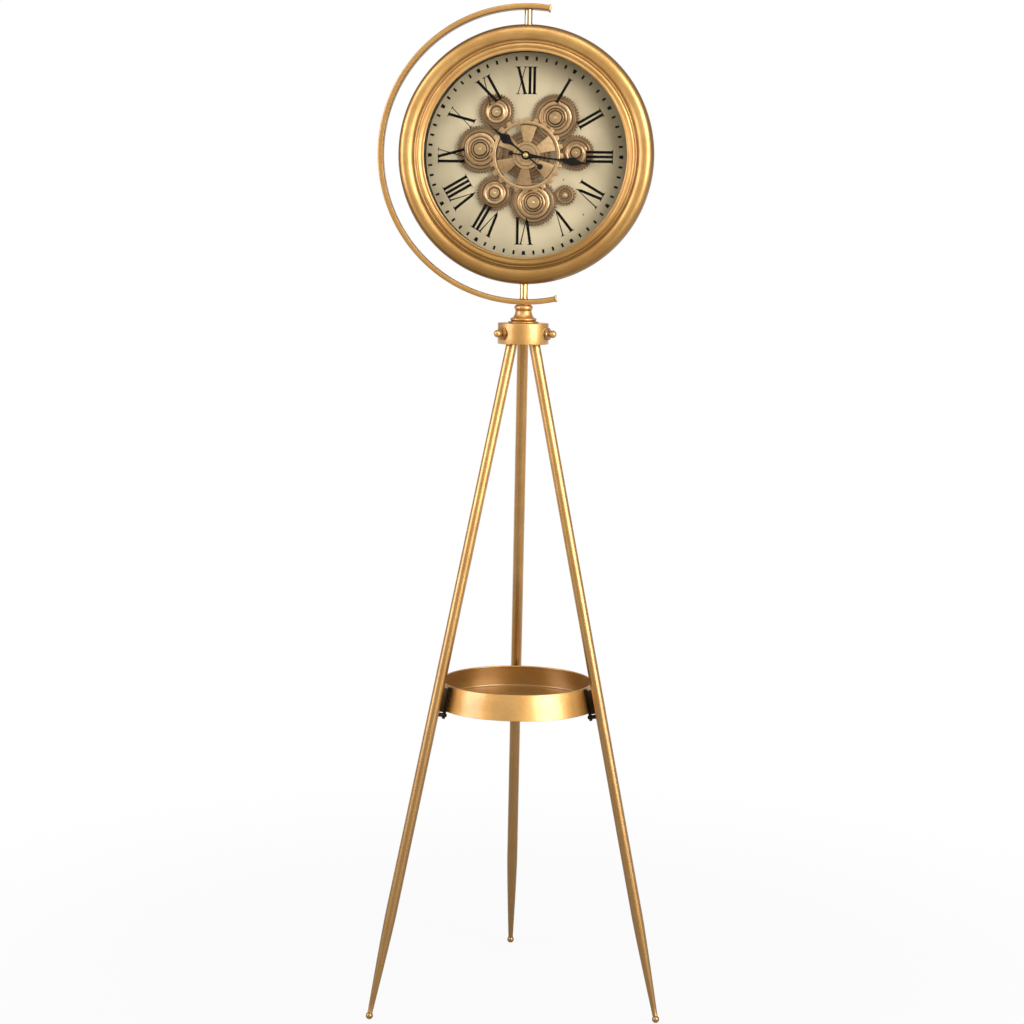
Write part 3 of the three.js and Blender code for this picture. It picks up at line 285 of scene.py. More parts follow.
def aged_metal(finish, light, dark, roughness, grain_noise, brushed, grime_and_shade, coat, reach=0.006):
    """Cloudy patina, corners browned by patina and by painted shade, fine specks and a brushed grain under
    a clear lacquer.
    """
    clouds = finish.noise(24, 4)
    specks = finish.noise(2400, 2, 0.7)
    # Corners and grooves, found by ambient occlusion, go dark brown: patina and painted shade.
    corner_patina_and_shade = finish.fade(finish.cavity(reach), 0.3, 0.92, 1.0, 0)
    tone = finish.fade(clouds * 0.6 + grain_noise * 0.4, 0.32, 0.68)
    colour = finish.blend(tone, dark, light)
    colour = finish.blend(corner_patina_and_shade * grime_and_shade, colour, times(dark, 0.14))
    spots = finish.fade(specks, 0.72, 0.82)
    colour = finish.blend(spots * 0.18, colour, times(dark, 0.5))
    worn = clouds * 0.5 + grain_noise * 0.5
    finish.set(Base_Color=colour, Metallic=1.0, Normal=finish.bump(grain_noise, brushed),
               Roughness=finish.fade(worn, 0.25, 0.75, roughness * 1.15, roughness * 0.86),
               Coat_Weight=coat, Coat_Roughness=0.24, Coat_IOR=1.65)
    return colour


def satin_metal(name, light, dark, roughness, grain=(1, 1, 1), brushed=0.00002, grime_and_shade=0.55, coat=0.8):
    """Antique metal whose grain is a noise that is stretched along one axis."""
    finish = Finish(name)
    grain_noise = finish.grain(grain)
    aged_metal(finish, light, dark, roughness, grain_noise, brushed, grime_and_shade, coat)
    return finish.material


def ring_metal(name, light, dark, roughness, grime_and_shade, bezel=False):
    """Antique metal that was brushed round the face, so that its grain follows the rings and the arc.

    The bezel has painted shade that makes it browner towards the bottom and the outer edge, and the arc has
    it on its inner side.
    """
    finish = Finish(name)
    x, y, z = finish.parts(finish.place)
    across, up = x - AXIS_X * MM, z - HEAD_Z * MM
    distance = (across * across + up * up) ** 0.5
    place = finish.node("ShaderNodeCombineXYZ", X=distance * 420, Y=across / distance * 4 + y * 420,
                        Z=up / distance * 4)
    streaks = finish.noise(1, 2, 0.6, place.outputs["Vector"])
    colour = aged_metal(finish, light, dark, roughness, streaks, 0.00001, grime_and_shade, 0.8)
    if bezel:
        # Painted shade: the bezel goes browner towards the bottom and at its outer edge.
        low = finish.fade(up, -0.185, 0.03, 0.66, 0)
        edge = finish.fade(distance, 0.1845, 0.1912, 0.0, 0.8)
        painted_shade = low.most(edge)
        finish.set(Coat_Roughness=0.3)
    else:
        # Painted shade on the inner face of the arc.
        painted_shade = finish.fade(distance, 0.2143, 0.2158, 0.7, 0) * finish.fade(distance, 0.2, 0.21)
    finish.set(Base_Color=finish.blend(painted_shade, colour, times(dark, 0.4)),
               Coat_Weight=(1 - painted_shade) * 0.75)
    return finish.material


def gear_metal(name, light, dark, roughness):
    """Cast metal, brown in its grooves by patina and painted shade, darker on its low parts by painted
    shade, and lighter on its raised steps.
    """
    finish = Finish(name)
    _, y, _ = finish.parts(finish.place)
    height = (AXIS_Y - DIAL_FRONT) * MM - y
    grain_noise = finish.noise(1100, 2, 0.6)
    colour = aged_metal(finish, light, dark, roughness, grain_noise, 0.00004, 1.0, 0.6, 0.0045)
    # Painted shade: the parts nearest the dial go dark brown.
    low = finish.fade(height, 0.006, 0.0098, 0.72, 0)
    colour = finish.blend(low, colour, (0.19, 0.1, 0.04))
    stains = finish.fade(finish.noise(160, 4, 0.65), 0.5, 0.72)
    finish.set(Base_Color=finish.blend(stains * 0.5, colour, (0.3, 0.175, 0.085)))
    return finish.material


def leg_metal(name, light, dark, roughness):
    """The legs' metal, with painted shade that makes it browner towards the floor."""
    finish = Finish(name)
    _, _, z = finish.parts(finish.place)
    grain_noise = finish.grain((1, 1, 0.012))
    colour = aged_metal(finish, light, dark, roughness, grain_noise, 0.00002, 0.55, 0.8)
    # Painted shade: the legs go browner towards the floor.
    low = finish.fade(z, 0.25, 0.9, 0.62, 0)
    finish.set(Base_Color=finish.blend(low, colour, (0.3, 0.155, 0.04)))
    return finish.material


def tray_metal(name, light, dark, roughness):
    """The pan's metal, with painted shade that makes it darker inside than outside."""
    finish = Finish(name)
    x, y, z = finish.parts(finish.place)
    distance = ((x - AXIS_X * MM) ** 2 + (y - AXIS_Y * MM) ** 2) ** 0.5
    wall = (TRAY_RIM_R + TRAY_TOP_Z * LEG_SLOPE) * MM - z * LEG_SLOPE
    below_rim = finish.fade(z, (TRAY_TOP_Z - 0.5) * MM, (TRAY_TOP_Z - 2.5) * MM)
    # Painted shade inside the pan, below its rim.
    inside = finish.fade(wall - distance, 0.0008, 0.0018) * below_rim
    grain_noise = finish.grain((0.35, 0.35, 1.6))
    colour = aged_metal(finish, light, dark, roughness, grain_noise, 0.00002, 0.5, 0.8)
    finish.set(Base_Color=finish.blend(inside * 0.8, colour, (0.34, 0.19, 0.052)), Coat_Weight=0.9)
    return finish.material


def black_finish(name, shade, roughness, shine=0.5):
    finish = Finish(name)
    clouds = finish.noise(40, 3)
    finish.set(Base_Color=finish.blend(clouds, shade, times(shade, 1.8)), Specular_IOR_Level=shine,
               Roughness=finish.fade(clouds, 0.3, 0.7, roughness * 0.85, roughness * 1.15),
               Normal=finish.bump(finish.noise(900, 3), 0.00002))
    return finish.material


def dial_finish():
    """Cream paint that darkens to tan towards the rim, with painted shade at the upper right and painted
    light at the lower left, a fine paper grain and two small dark marks.
    """
    finish = Finish("dial_paint")
    x, _, z = finish.parts(finish.place)
    across, up = x - AXIS_X * MM, z - HEAD_Z * MM
    distance = (across ** 2 + up ** 2) ** 0.5
    clouds = finish.noise(14, 4)
    # Painted light and shade: the tan of the rim reaches further in at the upper right than at the lower
    # left.
    painted_light_slant = (across + up) * 0.12
    rim = finish.fade(distance + painted_light_slant + (clouds - 0.5) * 0.05, 0.105, 0.185)
    colour = finish.blend(rim, (0.97, 0.8, 0.52), (0.52, 0.4, 0.235))
    specks = finish.fade(finish.noise(900, 2), 0.66, 0.72)
    colour = finish.blend(specks * 0.12, colour, (0.25, 0.18, 0.09))
    for right, down in ((55.5, 35), (86.5, 86.3)):
        away = ((across - right * MM) ** 2 + (up + down * MM) ** 2) ** 0.5
        mark = finish.fade(away, 0.0011, 0.0016, 0.8, 0)
        colour = finish.blend(mark, colour, (0.07, 0.05, 0.03))
    finish.set(Base_Color=colour, Roughness=finish.fade(clouds, 0.3, 0.7, 0.55, 0.7),
               Normal=finish.bump(finish.noise(1600, 2), 0.00003))
    return finish.material


def glass_finish():
    """Clear glass: it lets light and shadow through and reflects more at a slant."""
    finish = Finish("clear_glass")
    clear = finish.node("ShaderNodeBsdfTransparent", Color=(0.985, 0.99, 0.985, 1))
    smears = finish.noise(9, 3)
    gloss = finish.node("ShaderNodeBsdfGlossy", Color=(1, 1, 1, 1), Roughness=0.04)
    slant = Value(finish.node("ShaderNodeFresnel", IOR=1.45).outputs["Fac"])
    finish.show((slant - 0.036) * finish.fade(smears, 0.3, 0.7, 0.5, 0.8), clear, gloss)
    return finish.material


GOLD = (0.67, 0.37, 0.1)
GOLD_DARK = (0.5, 0.25, 0.058)
satin_upright = leg_metal("satin_brass_upright", (0.62, 0.34, 0.095), (0.46, 0.235, 0.056), 0.42)
satin_level = satin_metal("satin_brass_level", GOLD, GOLD_DARK, 0.52, (0.35, 0.35, 1.6))
satin_bezel = ring_metal("satin_brass_bezel", (0.72, 0.415, 0.12), GOLD_DARK, 0.49, 0.6, True)
satin_face = ring_metal("satin_brass_face", GOLD, GOLD_DARK, 0.45, 0.6)
# The nuts get more of the patina and painted shade in their corners.
satin_nut = satin_metal("satin_brass_nut", (0.5, 0.27, 0.08), (0.26, 0.125, 0.03), 0.4, grime_and_shade=0.9)
polished = satin_metal("polished_brass", (0.82, 0.56, 0.26), (0.7, 0.42, 0.16), 0.14, (1, 1, 0.05),
                       0.000006)
bright_brass = satin_metal("bright_brass", (0.95, 0.72, 0.3), (0.85, 0.6, 0.22), 0.34)
bronze = gear_metal("gear_bronze", (0.94, 0.61, 0.305), (0.56, 0.33, 0.145), 0.41)
# A darker copy of the gear bronze for the centre gear, which lies under the open wheel: painted shade.
shaded_bronze = gear_metal("gear_bronze_shaded", (0.62, 0.38, 0.175), (0.3, 0.17, 0.07), 0.44)
# Near-black for the brackets and their screws: a dark finish, darkened further as painted shade between the
# legs and the pan.
dark_bronze = satin_metal("dark_bronze", (0.045, 0.026, 0.012), (0.02, 0.012, 0.006), 0.5, coat=0.05)
steel = satin_metal("zinc_steel", (0.56, 0.55, 0.52), (0.42, 0.41, 0.39), 0.34, coat=0.0)
black_paint = black_finish("black_paint", (0.01, 0.009, 0.008), 0.5, 0.16)
black_plastic = black_finish("black_plastic", (0.02, 0.02, 0.02), 0.5)
printed_black = black_finish("printed_black", (0.006, 0.005, 0.004), 0.6, 0.08)
dial_paint = dial_finish()
clear_glass = glass_finish()


# Tools for shaping

def deselect():
    bpy.ops.object.select_all(action="DESELECT")


def activate(piece):
    deselect()
    piece.select_set(True)
    bpy.context.view_layer.objects.active = piece


def discard(piece):
    bpy.data.objects.remove(piece, do_unlink=True)


def set_mode(mode):
    bpy.ops.object.mode_set(mode=mode)


def select_all():
    bpy.ops.mesh.select_all(action="SELECT")


def open_piece(name):
    """Names the primitive that was just added and opens it for editing."""
    piece = bpy.context.object
    piece.name = name
    set_mode("EDIT")
    return piece


def close_piece():
    """Merges doubles, turns the faces outwards and ends editing."""
    select_all()
    bpy.ops.mesh.remove_doubles(threshold=0.000001)
    bpy.ops.mesh.normals_make_consistent(inside=False)
    set_mode("OBJECT")


def pick(piece, test):
    """Selects the vertices that pass a test on their place, in millimetres."""
    bpy.ops.mesh.select_mode(type="VERT")
    bpy.ops.mesh.select_all(action="DESELECT")
    mesh = bmesh.from_edit_mesh(piece.data)
    for vertex in mesh.verts:
        vertex.select = bool(test(vertex.co / MM))
    mesh.select_flush_mode()
    bmesh.update_edit_mesh(piece.data)


def extrude(lift, forwards=0):
    bpy.ops.mesh.extrude_region_move(TRANSFORM_OT_translate={"value": (0, forwards * MM, lift * MM)})


def move(x=0, y=0, z=0):
    bpy.ops.transform.translate(value=(x * MM, y * MM, z * MM))


def scale(x, y=1, z=1):
    """Scales the selected vertices about the origin."""
    bpy.ops.transform.resize(value=(x, y, z), center_override=(0, 0, 0))


def taper(piece, test, share):
    """Scales the vertices that pass the test along X."""
    activate(piece)
    set_mode("EDIT")
    pick(piece, test)
    scale(share)
    set_mode("OBJECT")


def turned(name, rings, sides=96, capped=True, lift=0):
    """A circle drawn up and scaled ring by ring about +Z; rings are (radius, height above the lift)."""
    (radius, height), *others = [(r, h + lift) for r, h in rings]
    fill = "NGON" if capped else "NOTHING"
    deselect()
    bpy.ops.mesh.primitive_circle_add(vertices=sides, radius=radius * MM, fill_type=fill)
    piece = open_piece(name)
    move(z=height)
    for ring in others:
        extrude(ring[1] - height)
        share = ring[0] / radius
        if share != 1:
            scale(share, share)
        radius, height = ring
    close_piece()
    return piece


def arc_rings(cx, cy, rx, ry, start, end, steps, fullness=2.0):
    """Points of a rounded profile, from one angle to another in degrees; fuller above 2."""

    def rounded(share):
        return copysign(abs(share) ** (2 / fullness), share)

    angles = [radians(start + (end - start) * i / steps) for i in range(steps + 1)]
    return [(cx + rx * rounded(cos(a)), cy + ry * rounded(sin(a))) for a in angles]


def bevel(piece, width, segments=2, angle=30):
    activate(piece)
    tool = piece.modifiers.new("edge", "BEVEL")
    tool.width = width * MM
    tool.segments = segments
    tool.limit_method = "ANGLE"
    tool.angle_limit = radians(angle)
    bpy.ops.object.modifier_apply(modifier=tool.name)


def cut(piece, cutter):
    """Takes the cutter's shape out of the piece."""
    activate(piece)
    tool = piece.modifiers.new("cut", "BOOLEAN")
    tool.operation = "DIFFERENCE"
    tool.solver = "EXACT"
    tool.object = cutter
    bpy.ops.object.modifier_apply(modifier=tool.name)
    discard(cutter)


def join(name, pieces):
    activate(pieces[0])
    for other in pieces[1:]:
        other.select_set(True)
    bpy.ops.object.join()
    pieces[0].name = name
    return pieces[0]


def copy_of(piece, name):
    twin = piece.copy()
    twin.data = piece.data.copy()
    twin.name = name
    bpy.context.scene.collection.objects.link(twin)
    return twin


def settle(piece, matrix):
    """Puts a piece in its place, with the place in its mesh."""
    piece.matrix_world = matrix
    activate(piece)
    bpy.ops.object.transform_apply()
    return piece


def finished(piece, matrix, body, material, nodes=(), smooth=32):
    """Settles a piece, gives it its finish, and lets it ride on its body."""
    settle(piece, matrix)
    bpy.ops.object.shade_smooth_by_angle(angle=radians(smooth))
    piece.data.materials.clear()
    piece.data.materials.append(material)
    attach(piece, body)
    if nodes:
        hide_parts(*nodes)


def box(name, size, centre=(0, 0, 0)):
    """A cube drawn to a size in millimetres and moved to its place, ready for its edges to be rounded."""
    deselect()
    bpy.ops.mesh.primitive_cube_add(size=1)
    piece = open_piece(name)
    scale(*(s * MM for s in size))
    move(*centre)
    close_piece()
    return piece


def hexagon(name, radius, low, high):
    deselect()
    bpy.ops.mesh.primitive_cylinder_add(vertices=6, radius=radius * MM, depth=(high - low) * MM)
    piece = open_piece(name)
    move(z=(low + high) / 2)
    close_piece()
    return piece


def slanted(angle):
    """A turn about +Z, in degrees."""
    return Matrix.Rotation(radians(angle), 4, "Z")


# Stand

def leg_radius(z):
    """How far a leg's axis is from the stand's axis at this height."""
    return FOOT_CIRCLE_R - (z - FOOT_Z) * LEG_SLOPE


LEANED = Matrix.Rotation(-LEG_TILT, 4, "Y")
OUTWARDS = Matrix.Rotation(pi / 2, 4, "Y")  # lays an axis that was drawn along +Z along +X
BOLT_Z = COLLAR_Z + COLLAR_HEIGHT / 2
TRAY_RIM_R = leg_radius(TRAY_TOP_Z) - LEG_R / cos(LEG_TILT) - TRAY_LEG_GAP
TRAY_LOW_Z = TRAY_TOP_Z - TRAY_HEIGHT
BRACKET_INNER = TRAY_RIM_R * cos(LEG_TILT) + TRAY_TOP_Z * sin(LEG_TILT) + FIT
BRACKET_OUTER = leg_radius(0) * cos(LEG_TILT) - LEG_R - FIT

satin_tray = tray_metal("satin_brass_tray", GOLD, GOLD_DARK, 0.49)


def along_leg(z):
    return z / cos(LEG_TILT) - (BRACKET_INNER - FIT) * tan(LEG_TILT)


def make_leg():
    """A straight round leg with a long taper, a small shoulder over the foot and a clean upper end."""
    seat = FOOT_BALL_R * 0.82
    length = LEG_RISE / cos(LEG_TILT) + LEG_IN_COLLAR
    rings = [(LEG_END_R - 0.5, seat), (LEG_END_R - 0.1, seat + 0.4), (LEG_END_R + 0.3, seat + 1)]
    for i in range(13):
        share = i / 12
        radius = LEG_END_R + (LEG_R - LEG_END_R) * (1 - (1 - share) ** 1.25)
        rings.append((radius, seat + 2 + (LEG_TAPER - 2) * share))
    rings += [(LEG_R, length * share) for share in (0.3, 0.5, 0.7, 0.85)]
    rings += [(LEG_R, length - 0.8), (LEG_R - 0.8, length)]
    return turned("leg", rings, 48)


def make_foot():
    """A ball with a flat under it and a short neck that enters the leg."""
    top = FOOT_BALL_R
    deselect()
    bpy.ops.mesh.primitive_uv_sphere_add(segments=40, ring_count=24, radius=top * MM)
    ball = open_piece("foot")
    select_all()
    bpy.ops.mesh.bisect(plane_co=(0, 0, -FOOT_Z * MM), plane_no=(0, 0, 1), use_fill=True, clear_inner=True)
    close_piece()
    bevel(ball, 0.3, 2, 20)
    neck = turned("neck", [(2.6, 0), (2.6, top * 0.8), (2.9, top * 0.86), (2.9, top)], 32)
    return join("foot", [ball, settle(neck, LEANED)])


def make_bolt():
    """A ball head on a short neck; the axis runs along +Z, outwards from the stand's axis."""
    ball = COLLAR_R + BOLT_STAND_OFF
    neck = COLLAR_R + FIT + NUT_THICK
    join_angle = -degrees(acos(3.4 / BOLT_BALL_R))
    rings = [(3, COLLAR_R - 6), (3, neck - 1), (3.9, neck - 0.6), (3.9, neck + 0.7), (3.3, neck + 1.3)]
    rings += arc_rings(0, ball, BOLT_BALL_R, BOLT_BALL_R, join_angle, 87, 16)
    return turned("bolt", rings, 40)


def make_nut():
    """A six-sided nut with rounded corners, cut to sit on the collar's round wall."""
    low, high, corner = COLLAR_R - 2, COLLAR_R + FIT + NUT_THICK, NUT_CORNER_R
    nut = hexagon("nut", corner, low, high)
    chamfer = [(corner + 3, high + 3), (corner + 3, low - 3), (corner + 2, low - 3),
               (corner + 0.6, high - 1.7), (corner - 1.5, high), (corner - 3, high + 3),
               (corner + 3, high + 3)]
    cut(nut, turned("chamfer", chamfer, 48, False))
    wall = turned("wall", [(COLLAR_R + FIT, -30), (COLLAR_R + FIT, 30)], 128)
    cut(nut, settle(wall, Matrix.Rotation(pi / 2, 4, "X")))
    bevel(nut, 0.35, 2, 25)
    return nut


def make_bracket():
    """A flat strip along the pan's wall and below it, with a rib to the leg and rounded edges."""
    low, high = along_leg(TRAY_LOW_Z - 11), along_leg(TRAY_TOP_Z - 1.5)
    strip = box("strip", (2.6, 6.4, high - low), (BRACKET_INNER + 1.3, 0, (low + high) / 2))
    bevel(strip, 0.5, 2)
    low, high = along_leg(TRAY_LOW_Z - 1.2), high - 2
    inner, outer = BRACKET_INNER + 1.3, BRACKET_OUTER
    rib = box("rib", (outer - inner, 4, high - low), ((inner + outer) / 2, 0, (low + high) / 2))
    bevel(rib, 0.5, 2)
    return join("bracket", [strip, rib])


def make_tray_screw():
    """A hexagon head inside the bracket, with a spacer to the leg outside it."""
    seat, inner, outer = BRACKET_INNER - FIT, BRACKET_INNER + 2.9, BRACKET_OUTER
    head = hexagon("screw", 3.2, seat - 2.2, seat)
    bevel(head, 0.4, 2)
    shank = turned("shank", [(2.4, seat - 1), (2.4, inner), (3.2, inner), (3.2, outer), (2.4, outer),
                             (2.4, outer + 2)], 32)
    return join("screw", [head, shank])


def build_legs():
    """Three of each: leg, foot, bolt, nut, bracket and screw."""
    foot_place = at(FOOT_CIRCLE_R, 0, FOOT_Z)
    bolt_place = slanted(BOLT_TURN) @ at(0, 0, BOLT_Z) @ OUTWARDS
    screw_place = LEANED @ at(0, 0, along_leg(TRAY_LOW_Z - 5.5)) @ OUTWARDS
    brass, dark = "antique_brass", "dark_bronze"
    kinds = (
        ("round_leg", "leg", make_leg(), foot_place @ LEANED, satin_upright, brass),
        ("ball_foot", "foot", make_foot(), foot_place, satin_upright, brass),
        ("ball_bolt", "leg_bolt", make_bolt(), bolt_place, satin_level, brass),
        ("hexagon_nut", "leg_nut", make_nut(), bolt_place, satin_nut, brass),
        ("flat_bracket", "tray_bracket", make_bracket(), LEANED, dark_bronze, dark),
        ("bracket_screw", "tray_screw", make_tray_screw(), screw_place, dark_bronze, dark),
    )
    for side, direction in LEG_SIDES.items():
        for name, node, first, place, metal, slot in kinds:
            piece = copy_of(first, f"{name}_{side}")
            place = STAND @ slanted(direction + TRIPOD_TURN) @ place
            finished(piece, place, "stand", metal, [f"{node}_{side}"])
    for kind in kinds:
        discard(kind[2])


def build_tray():
    """The pan: a rolled rim, a wall that widens downwards, and a floor with a rounded joint."""
    low, high, thick = TRAY_LOW_Z, TRAY_TOP_Z, TRAY_WALL
    floor = low + 4

    def wall(z, inset=0):
        """A ring inside the outer wall by the inset."""
        return TRAY_RIM_R + (high - z) * LEG_SLOPE - inset, z

    corner = wall(floor, thick)[0]
    rings = [(0.5, floor), (40, floor), (80, floor), (corner - 3.6, floor), (corner - 2.2, floor + 0.3),
             (corner - 1.2, floor + 1), wall(floor + 2, thick + 0.4), wall(floor + 3.4, thick),
             wall(high - 16, thick), wall(high - 2.9, thick),
             *arc_rings(TRAY_RIM_R - 1.3, high - 1.4, 1.5, 1.4, 225, 0, 12),
             wall(high - 1.8), wall(high - 20), wall(low + 0.5), wall(low, 0.4), wall(low, thick),
             wall(floor - 2, thick), (0.5, floor - 2)]
    finished(turned("round_tray", rings, 160), STAND, "stand", satin_tray, ["tray"])


def build_collar():
    """The cap over the legs, with rolled lips and a hollow under it."""
    high, outer, inner = COLLAR_HEIGHT, COLLAR_R, COLLAR_R - COLLAR_WALL
    rings = [(inner, 0.6), (inner + 0.6, 0), (outer - 1, 0),
             *arc_rings(outer - 1.2, 1.2, 1.2, 1.2, -70, 0, 4), (outer, 12), (outer, high - 12),
             *arc_rings(outer - 1.6, high - 1.6, 1.6, 1.6, 0, 90, 6), (24, high), (5, high),
             (5, high - 4), (inner - 1, high - 4), (inner, high - 5), (inner, 0.6)]
    collar = turned("round_collar", rings, 128, False, COLLAR_Z)
    finished(collar, STAND, "stand", satin_level, ["collar"])


def build_post():
    """The turned post: base disc, bead, flare, waist, top bead and a small disc under the arc."""
    rings = [(5, 0), (23, 0), *arc_rings(22.3, 0.9, 0.7, 0.9, -60, 90, 6), (19.8, 2),
             *arc_rings(17.6, 4.9, 2.4, 2.3, -70, 80, 12), (16.6, 7.6), (15.2, 9), (13.8, 11.2),
             (12.9, 13.4), (12.5, 15.6), (12.5, 17.6), (12.7, 18.4),
             *arc_rings(10.4, 22.3, 3.7, 3.9, -72, 72, 16), (11.2, 26.2), (11.4, 26.4),
             (11.4, POST_HEIGHT), (5, POST_HEIGHT)]
    post = turned("turned_pedestal", rings, lift=COLLAR_Z + COLLAR_HEIGHT + FIT)
    finished(post, STAND, "stand", satin_level, ["turned_post"])


def build_arc():
    """A bar with rounded edges, drawn as its section and swept round the head, and its two caps."""
    middle = ARC_INNER_R + ARC_THICK / 2
    place = HEAD @ slanted(ARC_TURN)
    start, end = radians(90 - ARC_TOP_REACH), radians(270 + ARC_BOTTOM_REACH)
    deselect()
    bpy.ops.mesh.primitive_plane_add(size=1)
    bar = open_piece("arc")
    scale(ARC_THICK * MM, ARC_DEPTH * MM)
    bpy.ops.mesh.bevel(offset=1.8 * MM, segments=4, affect="VERTICES", clamp_overlap=True)
    select_all()
    move(middle)
    bpy.ops.mesh.spin(steps=150, angle=end - start, center=(0, 0, 0), axis=(0, 1, 0))
    close_piece()
    finished(bar, place @ Matrix.Rotation(-start, 4, "Y"), "stand", satin_face, ["arc_bar"], smooth=40)
    first = box("cap", (ARC_THICK + 2.4, ARC_DEPTH + 2.4, 2.6), (middle, 0, 0))
    bevel(first, 1.1, 3)
    for name, angle, sense in (("top", start, -1), ("bottom", end, 1)):
        cap = copy_of(first, f"flared_cap_{name}")
        turn = Matrix.Rotation(-angle, 4, "Y") @ at(0, 0, sense * (1.3 + FIT))
        finished(cap, place @ turn, "stand", satin_face, [f"arc_end_cap_{name}"])
    discard(first)


def build_pivots():
    """Two polished posts with a small ring at each end."""
    low, high = HEAD_WALL_R + FIT, ARC_INNER_R - FIT
    post_r, ring = PIVOT_R, PIVOT_R + 0.9
    rings = [(post_r - 0.4, low), (ring - 0.3, low), (ring, low + 0.4), (ring, low + 1),
             (post_r, low + 1.6), (post_r, (low + high) / 2), (post_r, high - 1.6), (ring, high - 1),
             (ring, high - 0.4), (ring - 0.3, high), (post_r - 0.4, high)]
    first = turned("pivot", rings, 48)
    for name, flip in (("top", 0), ("bottom", pi)):
        place = HEAD @ Matrix.Rotation(flip, 4, "X")
        post = copy_of(first, f"pivot_{name}")
        finished(post, place, "head", polished, [f"pivot_post_{name}"])
    discard(first)


# Head

def build_bezel():
    """A half-round roll with a skirt, then a groove, a bead, a groove, a bead and a rounded lip."""
    outer = HEAD_WALL_R
    roll = [*arc_rings(179.6, 8, 12.2, 20, 0, 90, 20, 2.3),
            *arc_rings(179.6, 19.5, 11.6, 8.5, 90, 165, 14)[1:]]
    inner = [(167.7, 21.5), (167.1, 21.6), (166.8, 22.2), *arc_rings(165.7, 22.4, 1, 1.1, 20, 160, 6),
             (164.6, 22.2), (164.1, 22), (163.6, 22.3), *arc_rings(160.6, 22.4, 2.5, 1.5, 25, 150, 8),
             (157.6, 22.2), (156.4, 21.5), *arc_rings(154.2, 20.6, 2, 1.3, 60, 180, 8), (LIP_R, 20),
             (LIP_R, LIP_FRONT - 1.7)]
    back = [(166, LIP_FRONT - 1.7), (179.6, 25.6), (188, 21), (189, 8), (189, -7.4), (189.4, -8)]
    rings = [(outer - 0.6, -8), (outer, -7.4), (outer, 0.4), *roll, *inner, *back, (outer - 0.6, -8)]
    bezel = turned("rolled_bezel", rings, 192, False)
    finished(bezel, FACE, "head", satin_bezel, ["bezel"], smooth=38)


SCREW_TURNS = (45, 135, 225, 315)


def build_case():
    """The drum, with a shelf for the dial and four lugs for the screws, and the cover behind it."""
    outer, inner = CASE_REAR_R, CASE_REAR_R - 2
    shelf = DIAL_FRONT - 1.5 - FIT
    rings = [(outer, CASE_BACK), (outer, -13), *arc_rings(outer + 3, -12.5, 3, 3, 190, 110, 4),
             (CASE_R - 1, -9.4), (CASE_R, -8.4), (CASE_R, 5), (CASE_R - 2, 5), (CASE_R - 2, -9),
             (inner, -12), (inner, shelf), (SHELF_R, shelf), (SHELF_R, shelf - 2), (inner, shelf - 2),
             (inner, CASE_BACK), (outer, CASE_BACK)]
    lug = box("lug", (12.5, 12, 16), (inner - 5.75, 0, CASE_BACK + 8))
    lugs = [settle(copy_of(lug, "lug"), slanted(turn)) for turn in SCREW_TURNS]
    discard(lug)
    shell = join("case_drum", [turned("case_drum", rings, 160, False), *lugs])
    finished(shell, FACE, "head", satin_face, ["case_shell"])
    rings = [(62, -1.2), (62.4, -1.6), (70, -1.6), (71, -1.1), (73, -1.1), (74, -1.6), (outer - 6, -1.6),
             (outer - 0.5, -1.4), (outer, -0.8), (outer, 0), (62, 0), (62, -1.2)]
    cover = turned("rear_cover", rings, 160, False, CASE_BACK - FIT)
    finished(cover, FACE, "head", satin_face, ["back_cover"])


def build_cover_screws():
    """Domed heads with a cross slot."""
    seat = CASE_BACK - FIT - 1.6 - FIT
    screw = turned("screw", [(1.8, 6), (1.8, 0), (3.8, 0), (3.8, -0.5), (3.2, -1.5), (2, -2.1),
                             (0.6, -2.3)], 32, lift=seat)
    for turn in (0, 90):
        cut(screw, settle(box("slot", (5, 0.7, 1.6), (0, 0, seat - 2.1)), slanted(turn)))
    ring = CASE_REAR_R - 2 - 6
    for i, angle in enumerate(SCREW_TURNS):
        place = FACE @ at(ring * cos(radians(angle)), ring * -sin(radians(angle)))
        piece = copy_of(screw, f"cover_screw_head_{i + 1}")
        finished(piece, place, "head", steel, [f"cover_screw_{i + 1}"])
    discard(screw)


def build_wall():
    """The dark tube between the dial and the glass."""
    low, high = DIAL_FRONT + FIT, GLASS_BACK - FIT
    rings = [(WALL_R, low), (WALL_R + 1.6, low), (WALL_R + 1.6, high - 2), (164, high - 2), (164, high),
             (WALL_R + 0.4, high), (WALL_R, high - 0.4), (WALL_R, low)]
    wall = turned("dark_wall", rings, 160, False)
    finished(wall, FACE, "head", black_paint, ["inner_wall"])


def build_dial():
    rings = [(160, -1.5), (160, -0.2), (159.8, 0), (100, 0), (50, 0), (0.5, 0)]
    dial = turned("painted_dial", rings, 160, lift=DIAL_FRONT)
    finished(dial, FACE, "head", dial_paint, ["dial"])


def build_glass():
    rings = [(158.6, 0), (159, 0.4), (159, GLASS_THICK - 0.4), (158.6, GLASS_THICK)]
    glass = turned("flat_glass", rings, 160, lift=GLASS_BACK)
    finished(glass, FACE, "head", clear_glass, ["glass"])


# Numerals and minute marks, printed on the back of the glass

PRINT_BACK = GLASS_BACK - 0.2
PRINT_THICK = 0.1
PRINT_DROP = 1.6
FOOT_R = 90.8
CAP_R = 131.2
THICK_STROKE = 4.1
THIN_STROKE = 1.0
SERIF = 0.8
SERIF_REACH = 2.4
I_PITCH = 6.8
V_GAP = 4.9
V_WIDTH = 14.8
X_WIDTH = 10.9
HOUR_MARK_WIDE = 6
HOUR_MARK_NARROW = 0.68
MINUTE_MARK_WIDE = 3.2
MARK_LENGTH = 6
MARK_R = 143.4


